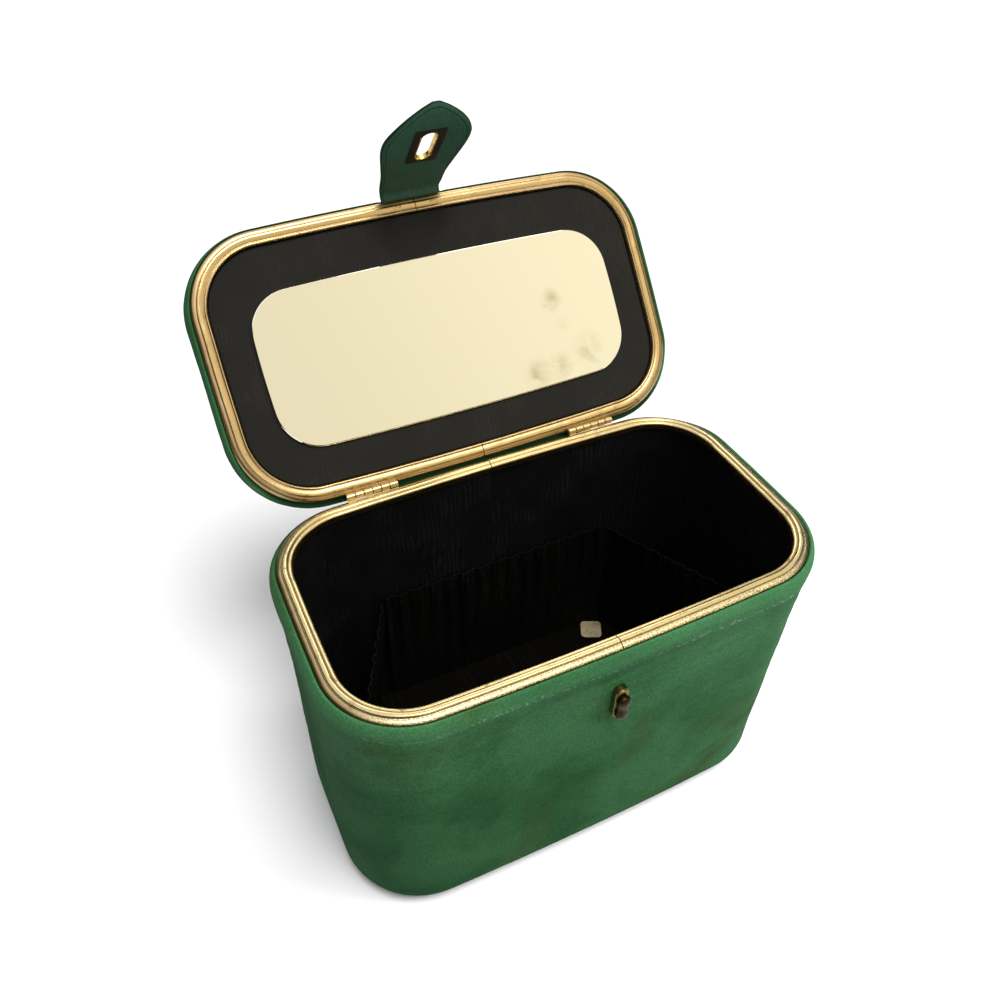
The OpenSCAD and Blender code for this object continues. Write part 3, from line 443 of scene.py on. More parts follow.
def object_place(tree):
    return tree.nodes.new("ShaderNodeTexCoord").outputs["Object"]


def uv_place(tree):
    return tree.nodes.new("ShaderNodeTexCoord").outputs["UV"]


# %% [markdown]
# ** Green leather.** The hide is a mid green with a satin finish. It is not one green: the dye is
# deeper in slow patches, and browner where hands and age have been at it. Masks kept on the mesh
# as attributes say where it is worn pale, where it is painted lighter (on the walls this is painted
# light, on the lid an even tone), where a crease or painted shade darkens it, and where painted
# glints speck a line below the padding.

# %% Leathers
def leather(name, deep, light, aged, cells=820.0, grain_depth=0.0001, rough=(0.38, 0.58), aged_amount=0.8,
            gloss=0.09):
    material, tree, shader = start_material(name, Specular_IOR_Level=0.0, Coat_Weight=gloss,
                                            Coat_Roughness=0.36, Coat_IOR=1.5)
    hide = place_group(tree, grain, Vector=object_place(tree), Cells=cells)

    def kept(mask):
        return add_node(tree, "ShaderNodeAttribute", {"attribute_name": mask}).outputs["Fac"]

    tone = spread(tree, hide.outputs["Patches"], 0.36, 0.64)
    # painted light: this mask paints the walls lighter towards the top and on the right of the front, where
    # the lamps fall; on the lid it is one even lighter tone
    tone = maths(tree, "MULTIPLY_ADD", kept("tone_and_painted_light"), 0.75, maths(tree, "MULTIPLY", tone, 0.5), clamp=True)
    colour = mix_colour(tree, tone, deep, light)
    old = spread(tree, noise(tree, object_place(tree), 9.0, 5.0, 0.62, 0.8), 0.48, 0.70, 0.0, aged_amount)
    colour = mix_colour(tree, old, colour, aged)
    pebbled = spread(tree, hide.outputs["Height"], 0.3, 1.0, 0.82, 1.14)
    pebbled = add_node(tree, "ShaderNodeCombineColor", None, Red=pebbled, Green=pebbled,
                       Blue=pebbled).outputs[0]
    colour = mix_colour(tree, 1.0, colour, pebbled, "MULTIPLY")
    rub = maths(tree, "MULTIPLY", kept("worn"), spread(tree, hide.outputs["Fine"], 0.34, 0.62))
    pale = tuple(min(1, c * 1.7) for c in light[:3]) + (1,)
    colour = mix_colour(tree, maths(tree, "MULTIPLY", rub, 0.5), colour, pale)
    # painted highlight: pale glints specked along the masked line below the padding
    glint = spread(tree, noise(tree, object_place(tree), 640.0, 2.0, 0.7), 0.55, 0.59)
    colour = mix_colour(tree, maths(tree, "MULTIPLY", kept("painted_glints"), glint), colour, (0.34, 0.46, 0.33, 1))
    # painted shade: this dark colour goes where the mesh marks shade, at the top of the back wall and round
    # the lid's lip; on the tab the same mask marks a real creased line
    shade_and_crease_colour = tuple(c * 0.3 for c in deep[:3]) + (1,)
    colour = mix_colour(tree, kept("crease_and_painted_shade"), colour, shade_and_crease_colour)
    tree.links.new(colour, shader.inputs["Base Color"])
    tree.links.new(spread(tree, hide.outputs["Patches"], 0.3, 0.7, rough[1], rough[0]),
                   shader.inputs["Roughness"])
    bump(tree, shader, hide.outputs["Height"], grain_depth)
    return material


green_leather = leather("green leather", (0.015, 0.080, 0.025, 1), (0.054, 0.172, 0.070, 1),
                        (0.038, 0.072, 0.014, 1))
base_leather = leather("base leather", (0.010, 0.030, 0.012, 1), (0.018, 0.046, 0.018, 1),
                       (0.026, 0.034, 0.016, 1))
tab_leather = leather("tab leather", (0.012, 0.066, 0.022, 1), (0.030, 0.115, 0.046, 1),
                      (0.034, 0.066, 0.018, 1))
tab_lining = leather("tab lining", (0.034, 0.090, 0.056, 1), (0.052, 0.125, 0.082, 1),
                     (0.050, 0.085, 0.050, 1),
                     cells=1300.0, grain_depth=0.00006, rough=(0.45, 0.6))
patch_leather = leather("dark patch", (0.020, 0.015, 0.010, 1), (0.036, 0.028, 0.020, 1),
                        (0.044, 0.032, 0.018, 1),
                        cells=1300.0, grain_depth=0.00008, rough=(0.4, 0.55), gloss=0.15)
edge_paint = leather("edge paint", (0.007, 0.011, 0.009, 1), (0.014, 0.021, 0.017, 1),
                     (0.018, 0.020, 0.015, 1),
                     cells=500.0, grain_depth=0.00005, rough=(0.32, 0.45), gloss=0.25)
handle_leather = leather("handle leather", (0.014, 0.070, 0.014, 1), (0.032, 0.118, 0.032, 1),
                         (0.046, 0.078, 0.020, 1), aged_amount=0.9)


# %% Metals
def brass(name, tarnish, bright, brown, rough=0.12, place=uv_place, depth=0.00003):
    material, tree, shader = start_material(name, Metallic=1.0)
    low = add_node(tree, "ShaderNodeAttribute", {"attribute_name": "low"}).outputs["Fac"]
    rubbed = add_node(tree, "ShaderNodeAttribute", {"attribute_name": "rubbed"}).outputs["Fac"]
    gilt = place_group(tree, gilding, Vector=place(tree), Low=low, Rubbed=rubbed, Tarnish=tarnish,
                       Bright=bright, Brown=brown)
    tree.links.new(gilt.outputs["Color"], shader.inputs["Base Color"])
    tree.links.new(maths(tree, "ADD", gilt.outputs["Roughness"], rough), shader.inputs["Roughness"])
    bump(tree, shader, gilt.outputs["Height"], depth)
    return material


rim_brass = brass("rim brass", 0.75, (0.72, 0.575, 0.29, 1), (0.17, 0.09, 0.032, 1), 0.11)
lid_brass = brass("lid rim brass", 0.75, (0.70, 0.51, 0.26, 1), (0.24, 0.14, 0.055, 1), 0.13)
hinge_brass = brass("hinge brass", 0.4, (0.62, 0.48, 0.25, 1), (0.22, 0.13, 0.05, 1), 0.2, object_place)
lock_brass = brass("lock brass", 0.8, (0.20, 0.155, 0.045, 1), (0.06, 0.045, 0.014, 1), 0.2, object_place)
knob_bronze = brass("knob bronze", 0.8, (0.034, 0.024, 0.008, 1), (0.016, 0.011, 0.004, 1), 0.26,
                    object_place)
eyelet_brass = brass("eyelet brass", 0.5, (0.70, 0.50, 0.14, 1), (0.25, 0.17, 0.05, 1), 0.16, object_place)
handle_brass = brass("handle brass", 0.5, (0.74, 0.55, 0.27, 1), (0.26, 0.15, 0.055, 1), 0.16, object_place)
plain_steel = brass("plain steel", 0.5, (0.52, 0.52, 0.53, 1), (0.20, 0.17, 0.15, 1), 0.25, object_place)


# %% Black cloths
def black_cloth(name, dark, light, ribs=1500.0, lines=26.0, rough=(0.5, 0.75), depth=0.00002, gloss=0.045):
    material, tree, shader = start_material(name, Specular_IOR_Level=gloss)
    cloth = place_group(tree, watered, Vector=uv_place(tree), Ribs=ribs, Lines=lines)
    dust = spread(tree, noise(tree, uv_place(tree), 40.0, 4.0), 0.3, 0.75, 0.0, 0.3)
    # painted sheen: the watering lines are painted lighter in colour, together with real dust
    painted_sheen_and_dust = maths(tree, "ADD", cloth.outputs["Watering"], dust, clamp=True)
    tree.links.new(mix_colour(tree, painted_sheen_and_dust, dark, light), shader.inputs["Base Color"])
    tree.links.new(spread(tree, cloth.outputs["Watering"], 0.0, 1.0, rough[1], rough[0]),
                   shader.inputs["Roughness"])
    bump(tree, shader, cloth.outputs["Height"], depth)
    return material


lining_cloth = black_cloth("lining cloth", (0.0026, 0.0026, 0.0026, 1), (0.0078, 0.0078, 0.0084, 1),
                           lines=95.0)
# painted sheen: the lid's panel is the same black cloth, painted lighter because it faces the light
sheen_painted_panel_cloth = black_cloth("panel cloth with painted sheen", (0.0150, 0.0140, 0.0115, 1), (0.0190, 0.0180, 0.0150, 1),
                          lines=150.0)
pocket_cloth = black_cloth("pocket cloth", (0.0022, 0.0020, 0.0016, 1), (0.0060, 0.0056, 0.0046, 1),
                           lines=60.0)
floor_cloth = black_cloth("floor cloth", (0.0016, 0.0014, 0.0008, 1), (0.0034, 0.0030, 0.0018, 1),
                          lines=60.0, gloss=0.02)


# %% Mirror, paper and the hidden board
def speckled(name, colour_a, colour_b, scale, depth, low=0.4, high=0.65, **values):
    material, tree, shader = start_material(name, **values)
    marks = noise(tree, object_place(tree), scale, 5.0)
    tree.links.new(mix_colour(tree, spread(tree, marks, low, high), colour_a, colour_b),
                   shader.inputs["Base Color"])
    bump(tree, shader, marks, depth)
    return material


label_paper = speckled("label paper", (0.32, 0.265, 0.145, 1), (0.20, 0.155, 0.085, 1), 160.0, 0.0001,
                       Roughness=0.8)
case_board = speckled("case board", (0.38, 0.29, 0.19, 1), (0.30, 0.22, 0.14, 1), 240.0, 0.00015,
                      Roughness=0.85)
backing_card = speckled("backing card", (0.20, 0.19, 0.17, 1), (0.15, 0.14, 0.12, 1), 240.0, 0.0001,
                        Roughness=0.85)
wadding = speckled("wadding", (0.62, 0.59, 0.52, 1), (0.5, 0.47, 0.4, 1), 420.0, 0.0006, Roughness=0.95,
                   Sheen_Weight=0.3)
thread = speckled("thread", (0.05, 0.12, 0.05, 1), (0.03, 0.08, 0.035, 1), 2400.0, 0.0001, Roughness=0.7)

mirror_glass, tree, shader = start_material("mirror glass", Metallic=1.0, Coat_Weight=0.25,
                                            Coat_Roughness=0.02)
haze = spread(tree, noise(tree, object_place(tree), 12.0, 4.0), 0.45, 0.8, 0.0, 0.08)
# painted reflection: brown spots near the right end stand for dark things of the room seen in the mirror, and
# the glass is rougher there
painted_reflection_spots = 0.0
for spot, reach, weight in (((0.0702, 0.1351, 0.2619), 0.010, 0.7), ((0.075, 0.125, 0.249), 0.007, 0.4),
                            ((0.050, 0.1072, 0.2279), 0.013, 1.0), ((0.066, 0.108, 0.229), 0.012, 0.7),
                            ((0.089, 0.112, 0.234), 0.016, 0.5)):
    far = add_node(tree, "ShaderNodeVectorMath", {"operation": "DISTANCE"}, i0=object_place(tree),
                   i1=spot).outputs["Value"]
    painted_reflection_spots = maths(tree, "MAXIMUM", painted_reflection_spots, spread(tree, far, 0.0, reach, weight, 0.0))
cloudy = spread(tree, noise(tree, object_place(tree), 60.0, 3.0, 0.5, 0.6), 0.34, 0.74)
painted_reflection = maths(tree, "MULTIPLY", painted_reflection_spots, cloudy)
tree.links.new(mix_colour(tree, painted_reflection, (0.97, 0.945, 0.86, 1), (0.50, 0.42, 0.24, 1)),
               shader.inputs["Base Color"])
tree.links.new(maths(tree, "MULTIPLY_ADD", painted_reflection, 0.25, haze), shader.inputs["Roughness"])
print("materials:", len(bpy.data.materials))

# %% [markdown]
# ## The leather walls
# The cover is one band of leather drawn over the padded edge under the rim, down the walls and
# round the foot. The path below is its face in section, from under the rim's lip to the
# underside. Where the padding ends, the hide is pinched in, and small puckers stand there.

# %% Path of the walls in section
swell = [(9.5, 195.0, 0), (10.3, 195.85, 0), (11, 195.2, 0.2), (11, 192.6, 0.75), (11, 189, 1),
         (11, 185.5, 0.97),
         (11, 182, 0.68), (11, 178.5, 0.36), (11, 174, 0.12), (11, 168, 0)]
face = [(RIM_W + 0.06, TOP_Z, 0)] + swell
roll_u = LEATHER_OUT - ROLL_R
roll = [(roll_u + ROLL_R * math.cos(a), ROLL_R - ROLL_R * math.sin(a), 0)
        for a in np.radians(np.linspace(0, 80, 13))]
swell_part = rounded_path(face, 3)
lock_part = spaced_path([face[-1], (LEATHER_OUT, 138, 0)], 0.85)[1:]
foot_part = spaced_path([(LEATHER_OUT, 138, 0), roll[0]], 3.0)[1:]
under = [(roll_u + (ROLL_R - LEATHER_T) * math.cos(a), ROLL_R - (ROLL_R - LEATHER_T) * math.sin(a), 0)
         for a in np.radians(np.linspace(80, 0, 6))]
inner_side = [(LEATHER_OUT - LEATHER_T, ROLL_R + 20, 0), (LEATHER_OUT - LEATHER_T, TOP_Z - SWELL_H, 0),
          (LEATHER_OUT - LEATHER_T, TOP_Z - 5, 0.9), (LEATHER_OUT - LEATHER_T, TOP_Z - LEATHER_T, 0.1),
          (RIM_W * 0.97, TOP_Z - LEATHER_T, 0)]
wall_path = np.concatenate([swell_part, lock_part, foot_part, roll[1:], under, inner_side])
face_count = len(swell_part) + len(lock_part) + len(foot_part) + len(roll) - 1
print("points in the section:", len(wall_path))


# %% Carry it round the case
def stations(extra=()):
    """The outline at the rim and at the foot, point for point."""
    shares = long_shares(extra)
    rim = whole_outline(HALF_W, HALF_D, CORNER_R, LONG_BOW, SHORT_BOW, shares, 26, 22)
    foot_size = HALF_W + FOOT_SPREAD, HALF_D - FOOT_DRAW, FOOT_CORNER_R
    foot = whole_outline(*foot_size, LONG_BOW, SHORT_BOW, shares, 26, 22)
    return rim, foot


def round_the_case(path, extra=(), amounts=(SWELL_ENDS, SWELL_FRONT, SWELL_BACK)):
    """Points of a path of (out, height, share of the swell), at every station of the outline."""
    (rim, rim_way), (foot, foot_way) = stations(extra)
    u, z, share = (np.asarray(path, float)[:, i] for i in range(3))
    n = rim_way
    ends, front, back_side = amounts
    amount = ends * n[:, 0] ** 2 + np.where(n[:, 1] > 0, back_side, front) * n[:, 1] ** 2
    out = u[None] + share[None] * amount[:, None]
    t = np.clip((TOP_Z - z) / TOP_Z, 0, 1)[None, :, None]
    at_rim = rim[:, None] + out[..., None] * rim_way[:, None]
    at_foot = foot[:, None] + out[..., None] * foot_way[:, None]
    flat = (1 - t) * at_rim + t * at_foot
    ways = np.repeat(rim_way[:, None], len(u), 1)
    return np.concatenate([flat, np.broadcast_to(z[None, :, None], flat.shape[:2] + (1,))], -1), ways


lock_stations = np.arange(0.4, 13, 0.8)
walls, wall_ways = round_the_case(wall_path, lock_stations)
along = np.concatenate([[0], np.cumsum(np.linalg.norm(np.diff(walls[:, 0, :2], axis=0), axis=1))])[:, None]
# at the back the hide stays lower, because the open lid comes down there
low_back = smooth_step(wall_ways[..., 1], 0.15, 0.8)
over = np.maximum(walls[..., 2] - TOP_Z, 0)
walls[..., 2] -= over * 0.45 * low_back
height = walls[..., 2]
is_face = (np.arange(len(wall_path)) < face_count)[None] & (np.arange(len(wall_path)) > 1)[None]
on_wall = smooth_step(height, 6, 22) * (1 - smooth_step(height, 186, 191)) * is_face
# slow dents, shallow drag lines, puckers where the padding ends, and the edge of the lock's plate
slow = 0.28 * wobble(walls, 62, 3) + 0.14 * wobble(walls * [1, 1, 1.8], 21, 5)
ripple = np.sin(2 * math.pi * along / 5.2 + 2.2 * wobble(walls, 30, 8)) * (0.6 + 0.4 * wobble(walls, 17, 9))
puckers = (
    0.09 * ripple * np.exp(-(((height - 182.5) / 3.0) ** 2))
    * (0.3 + 0.7 * smooth_step(-wall_ways[..., 1], 0.3, 0.8))
)
# the hide runs off the padding in a long slope, except where the tab has pressed it flat
slope = np.interp(height, [115, 130, 145, 160, 171, 178, 182, 187], [0, 0.04, 0.13, 0.3, 0.46, 0.52, 0.3, 0])
clear_of_tab = np.maximum(smooth_step(np.abs(walls[..., 0]), 30, 62), wall_ways[..., 1] > -0.5)
fullness = slope * clear_of_tab * (2.8 * wall_ways[..., 0] ** 2 + 1.9 * wall_ways[..., 1] ** 2)
fullness = fullness * (1 - 0.75 * smooth_step(height, 168, 180) * smooth_step(wall_ways[..., 0], 0.2, 0.9))
plate_x = 1 - smooth_step(np.abs(walls[..., 0]), 8.9, 9.8)
plate_z = 1 - smooth_step(np.abs(height - LOCK_Z), 16.6, 17.5)
on_plate = plate_x * plate_z * (walls[..., 1] < 0)
move = on_wall * ((1 - on_plate) * slow + puckers + fullness + 0.22 * on_plate)
walls[..., :2] += move[..., None] * wall_ways
worn = np.exp(-(((height - 189) / 4.5) ** 2)) * 0.8 + np.exp(-(((height - 9) / 7.0) ** 2)) * 0.5
# painted light: the front is painted lighter towards its right, where the lamps fall, and the walls lighter
# towards the top
painted_light_right = smooth_step(walls[..., 0], -60, 110) * (wall_ways[..., 1] < 0)
tone_and_painted_light = 0.5 * smooth_step(height, 90, 178) + 0.55 * painted_light_right * smooth_step(height, -160, 90)
front_side = smooth_step(-wall_ways[..., 1], 0.4, 0.9)
# painted highlight: a line of pale glints on the puckers below the padding, mostly on the front and higher at
# the left
glint_height = 182.8 + 3.6 * (1 - smooth_step(walls[..., 0], -70, 70))
painted_glints = (
    np.exp(-(((height - glint_height) / 0.8) ** 2)) * front_side
    * (0.5 + 0.5 * smooth_step(walls[..., 0], 0, 60))
)
painted_glints = (
    painted_glints + 0.3 * np.exp(-(((height - glint_height - 1.7) / 1.5) ** 2)) * front_side
    * smooth_step(wobble(walls, 26, 12), 0.0, 0.5)
)
# painted shade: the top of the back wall, in the shade between the two rims, is painted dark
crease_and_painted_shade = 0.8 * low_back * smooth_step(height, 183, 190)
faces, uv = grid_faces(walls, True, True)
walls_leather = make_piece("walls_leather", walls, faces, "body", green_leather,
                           uv=uv, masks={"worn": worn * is_face, "tone_and_painted_light": tone_and_painted_light * is_face,
                                         "painted_glints": painted_glints * is_face, "crease_and_painted_shade": crease_and_painted_shade * is_face})
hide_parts("side_cover")
print("faces in the walls:", len(faces))

# %% [markdown]
# ## The rims
# Each rim is a rolled channel of gilded brass, in a left and a right half that butt at the
# middle of the front and of the back. Seen from above, the body's rim has a tan band that falls
# into the case, a fine groove, a bright crest, a step, and a lower brown band beside the leather.

# %% Sections of the rims
body_shares = [
    (0, 0.4, 0, 0), (0.08, 0.2, 0, 0), (0.22, 0.16, 0, 0), (0.26, 0.2, 0, 0), (0.31, 0.07, 0, 0),
    (0.4, 0, 0, 0), (0.54, 0, 0, 0), (0.63, 0.09, 0, 0), (0.68, 0.27, 0, 0), (0.74, 0.26, 0, 0),
    (0.88, 0.34, 0, 0), (0.98, 0.5, 0, 0), (1, 0.72, 0, 0), (0.97, 1, 0, 0)]
body_back_shares = [
    (0.97, 1, -1, 0), (1, 0.42, -1, 0.9), (0.86, 0.34, -0.5, 1), (0.68, 0.27, 0, 1), (0.55, 0, 0, 1.1),
    (0.38, 0, 0, 1.1), (0.1, 0.22, 0.6, 1), (0, 0.4, 1, 0.5)]
lid_shares = [
    (0, 0.3, 0, 0), (0.04, 0.1, 0, 0), (0.12, 0, 0, 0), (0.2, 0.1, 0, 0), (0.23, 0.17, 0, 0),
    (0.3, 0.1, 0, 0), (0.5, 0.04, 0, 0), (0.61, 0.08, 0, 0), (0.65, 0.2, 0, 0), (0.72, 0.19, 0, 0),
    (0.86, 0.26, 0, 0), (0.97, 0.44, 0, 0), (1, 0.7, 0, 0), (0.97, 1, 0, 0)]
lid_back_shares = [
    (0.97, 1, -1, 0), (1, 0.4, -1, 0.9), (0.84, 0.26, -0.5, 1), (0.65, 0.2, 0, 1), (0.6, 0.08, -0.5, 1.1),
    (0.32, 0.08, 0, 1.1), (0.14, 0.1, 0.3, 1), (0, 0.3, 1, 0.5)]


TAIL_SEEN = 5.2  # of the 8 mm tail, the lining hides the rest


def rim_path(shares, back_shares, z, way):
    """The rim in section. way is 1 for the body, whose metal hangs down, and -1 for the lid."""
    def spot(s):
        return (s[0] * RIM_W + s[2] * RIM_SHEET, z - way * (s[1] * RIM_LIP + s[3] * RIM_SHEET), 0)
    front = rounded_path([(0, z - way * TAIL_SEEN, 0)] + [spot(s) for s in shares], 2)
    return np.concatenate([front, [spot(s) for s in back_shares], [(RIM_SHEET, z - way * TAIL_SEEN, 0)]])


# %% Build the four halves
notch_lo, notch_hi = HINGE_X - HINGE_LEN / 2 - LIE, HINGE_X + HINGE_LEN / 2 + LIE
notch_stations = [notch_lo - 0.05, notch_lo + 0.05, notch_hi - 0.05, notch_hi + 0.05]
BUTT = 0.28
NOTCH_R = 2.75
# how brown the metal is across the section, from its inner edge (0) to its outer edge (1)
body_brown = [(0, 0.35), (0.06, 0.12), (0.2, 0.1), (0.26, 0.7), (0.33, 0.2), (0.4, 0), (0.6, 0),
              (0.66, 0.5), (0.74, 0.4), (0.9, 0.8), (1, 1)]
lid_brown = [(0, 0.2), (0.1, 0.05), (0.22, 0.6), (0.3, 0.1), (0.55, 0), (0.62, 0.15), (0.67, 0.95),
             (0.76, 0.35), (0.9, 0.45), (1, 0.7)]


def half_rim(name, path, brown_shares, side, body, place, seed, top_z, way):
    points, ways = round_the_case(path, notch_stations)
    half = len(points) // 2 + 1
    points, ways = points[:half].copy(), ways[:half]
    # brown where the section is low; along the front the outer band is rubbed to pale specks
    share = path[:, 0] / RIM_W
    low = np.interp(share, *np.array(brown_shares).T)
    tail = (path[:, 0] < 0.3) & (way * (top_z - path[:, 1]) > 0.62 * RIM_LIP)
    low = np.where(tail, 0.95, low)[None] * np.ones((half, 1))
    at_front = 0 * ways[..., 0]
    if body == "body":
        at_front = smooth_step(-ways[..., 1] + 0.45 * side * ways[..., 0], 0.1, 0.8)
    outer = smooth_step(share, 0.6, 0.72)[None] * ~tail[None]
    low = low * (1 - 0.2 * at_front * outer)
    rubbed = at_front * outer
    uneven = 0.05 * wobble(points, 9, seed) + 0.05 * wobble(points, 24, seed + 1)
    inner_line = np.abs(path[:, 0]) < 0.2
    points[..., :2] += (uneven * ~inner_line)[..., None] * ways * 0.6
    points[..., 2] += uneven
    points[0, :, 0] = points[-1, :, 0] = BUTT
    points[..., 0] *= side
    # the hinges sit in round notches: what lies inside one is pushed out to its wall
    x, y, z = points[..., 0], points[..., 1] - HINGE_Y, points[..., 2] - HINGE_Z
    radius = np.hypot(y, z)
    cut = (np.abs(x) > notch_lo) & (np.abs(x) < notch_hi) & (radius < NOTCH_R) & (points[..., 1] > 0)
    grow = np.where(cut, NOTCH_R / np.maximum(radius, 0.05), 1)
    points[..., 1], points[..., 2] = HINGE_Y + y * grow, HINGE_Z + z * grow
    faces, uv = grid_faces(points, False, True)
    m, last = len(path), (half - 1) * len(path)
    ends = [list(range(m)), [last + k for k in range(m - 1, -1, -1)]]
    return make_piece(name, points, list(faces) + ends, body,
                      rim_brass if body == "body" else lid_brass, place, uv, 48,
                      masks={"low": low, "rubbed": rubbed})


for side, word in ((-1, "left"), (1, "right")):
    lower = half_rim(f"body_rim_{word}_metal", rim_path(body_shares, body_back_shares, BODY_H, 1),
                     body_brown, side, "body", None, 20 + side, BODY_H, 1)
    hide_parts(f"body_rim_{word}")
    upper = half_rim(f"lid_rim_{word}_metal", rim_path(lid_shares, lid_back_shares, LID_Z, -1), lid_brown,
                     side, "lid", ON_LID, 30 + side, LID_Z, -1)
    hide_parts(f"lid_rim_{word}")

# %% [markdown]
# ## The hinges
# Each hinge is six short barrels on one pin, three on the body and three on the lid, in turn. A
# web joins each barrel to a leaf inside the rim. Barrels are turned with eased ends, because the
# thin dark lines between them are all that one sees of a hinge this small.

# %% Build the hinges
LEAF_T, LEAF_IN, LEAF_DOWN = 0.8, 2.85, 3.42


def barrel(x0, x1, radius, steps=30):
    profile = [(x0, radius - 0.34), (x0 + 0.06, radius - 0.14), (x0 + 0.24, radius), (x1 - 0.24, radius),
               (x1 - 0.06, radius - 0.14), (x1, radius - 0.34)]
    a = np.radians(np.linspace(0, 360, steps + 1)[:-1])
    points = np.array([[(x, HINGE_Y + r * math.cos(t), HINGE_Z + r * math.sin(t)) for x, r in profile]
                       for t in a])
    faces, _ = grid_faces(points, True, False)
    m = len(profile)
    return points.reshape(-1, 3), faces.tolist() + [[i * m for i in range(steps)],
                                                    [i * m + m - 1 for i in range(steps)]]


def strip(x0, x1, line, thick):
    """A bent flat strip from x0 to x1 that follows a line of (y, z)."""
    line = np.array(line, float)
    way = np.gradient(line, axis=0)
    side = np.stack([-way[:, 1], way[:, 0]], 1) / np.linalg.norm(way, axis=1)[:, None]
    ring = np.concatenate([line + side * thick / 2, (line - side * thick / 2)[::-1]])
    points = np.array([[(x, y, z) for y, z in ring] for x in (x0, x1)])
    faces, _ = grid_faces(points, False, True)
    n = len(ring)
    return points.reshape(-1, 3), faces.tolist() + [list(range(n)), [n + k for k in range(n - 1, -1, -1)]]


def join(parts):
    points, faces = [], []
    for p, f in parts:
        faces += [[i + sum(len(q) for q in points) for i in one] for one in f]
        points.append(p)
    return np.concatenate(points), faces


for side, word in ((-1, "left"), (1, "right")):
    for kind, first, way in (("body", 0, -1), ("lid", 1, 1)):
        start = side * HINGE_X - HINGE_LEN / 2
        foot = (HINGE_Y - LEAF_IN, HINGE_Z + way * LEAF_DOWN)
        parts = []
        for k in range(first, 6, 2):
            x0, x1 = start + k * HINGE_LEN / 6 + 0.13, start + (k + 1) * HINGE_LEN / 6 - 0.13
            parts.append(barrel(x0, x1, 2.0))
            parts.append(strip(x0 + 0.2, x1 - 0.2,
                [(HINGE_Y - 0.8, HINGE_Z + way * 0.96), (HINGE_Y - 1.8, HINGE_Z + way * 2.16), foot], LEAF_T))
        parts.append(strip(start + 0.3, start + HINGE_LEN - 0.3,
            [(HINGE_Y - 1.56, HINGE_Z + way * 1.87), foot, (foot[0], foot[1] + way * 1.0),
             (foot[0], foot[1] + way * 1.9)], LEAF_T))
        points, faces = join(parts)
        leaf = make_piece(f"hinge_{kind}_{word}_metal", points, faces, kind, hinge_brass,
                          ON_LID if kind == "lid" else None, sharp=35)
        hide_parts(f"hinge_leaf_{kind}_{word}")

# %% [markdown]
# ## The padded lid
# The lid's leather is drawn over padding, so that it swells beyond the rim and rounds over to a
# nearly flat top. Its section is a smooth curve along the CAD's with less swell, as the photograph
# shows it. The flat top is closed by rings that shrink to the middle.

# %% Build the lid's leather
LID_RISE = LID_H - RIM_LIP - LIE
lid_low = LID_Z + RIM_LIP + LIE
lip_side = [(9.36, lid_low - 0.2, 0), (9.4, 201.6, 0), (9.5, 200.7, 0.12), (RIM_W, 201.0, 0.55),
            (RIM_W, 203.2, 0.9), (RIM_W, 206.5, 1),
            (RIM_W, 209.5, 0.98), (RIM_W, lid_low + 0.55 * LID_RISE, 0.8),
            (RIM_W, lid_low + 0.71 * LID_RISE, 0.36)]
top_side = [(RIM_W - 1.8, lid_low + 0.84 * LID_RISE, 0), (RIM_W - 7.3, lid_low + 0.935 * LID_RISE, 0),
            (RIM_W - 17, lid_low + 0.985 * LID_RISE, 0)]
outer = rounded_path(lip_side + top_side + [(-20, LID_Z + LID_H, 0), (-30, LID_Z + LID_H, 0)], 3)
back_of_hide = [(RIM_W - 0.6, lid_low + 1.6, 0), (RIM_W - 0.5, lid_low + 0.5, 0)]
lid_path = np.concatenate([back_of_hide, outer])
SEEN_SWELL = (3.4, 1.3, 3.4)


def closed_top(path, rings=14, **more):
    """A path carried round the case and closed by rings that shrink to the middle."""
    points, ways = round_the_case(path, **more)
    edge = points[:, -1:]
    share = np.linspace(1, 0.02, rings + 1)[1:]
    top = np.concatenate([edge[..., :2] * share[None, :, None], np.repeat(edge[..., 2:], rings, 1)], -1)
    return np.concatenate([points, top], 1), np.concatenate([ways, np.zeros_like(top[..., :2])], 1)


lid_points, lid_ways = closed_top(lid_path, extra=(17.0, 19.0, 20.5, 22.0), amounts=SEEN_SWELL)
# beside the hinges, and where the tab comes out, the hide stops level with the lip
at_tab = (1 - smooth_step(np.abs(lid_points[..., 0]), 19.2, 21.5)) * (lid_ways[..., 1] < -0.5)
held = np.maximum(smooth_step(lid_ways[..., 1], 0.1, 0.5), at_tab)
lid_points[..., 2] += np.maximum(lid_low - lid_points[..., 2], 0) * held
rise = lid_points[..., 2]
side_part = (
    smooth_step(rise, lid_low + 1.2, lid_low + 4)
    * (1 - smooth_step(rise, lid_low + LID_RISE * 0.8, LID_Z + LID_H))
)
dent = 0.24 * wobble(lid_points, 48, 41) + 0.1 * wobble(lid_points, 16, 43)
gather = (
    0.1 * np.sin(np.arange(len(lid_points))[:, None] * 1.9 + 2 * wobble(lid_points, 25, 44))
    * np.exp(-(((rise - lid_low - 2) / 1.6) ** 2))
)
lid_points[..., :2] += (side_part * (dent + gather))[..., None] * lid_ways
flat_top = smooth_step(rise, lid_low + LID_RISE * 0.9, LID_Z + LID_H)
lid_points[..., 2] -= flat_top * 0.1 * (1 + wobble(lid_points, 40, 45)) * (np.abs(lid_points[..., 1]) > 18)
faces, uv = grid_faces(lid_points, True, False)
m = lid_points.shape[1]
cap = [[i * m + m - 1 for i in range(len(lid_points))]]
lid_worn = np.exp(-(((rise - lid_low - 1) / 5) ** 2)) * 0.8
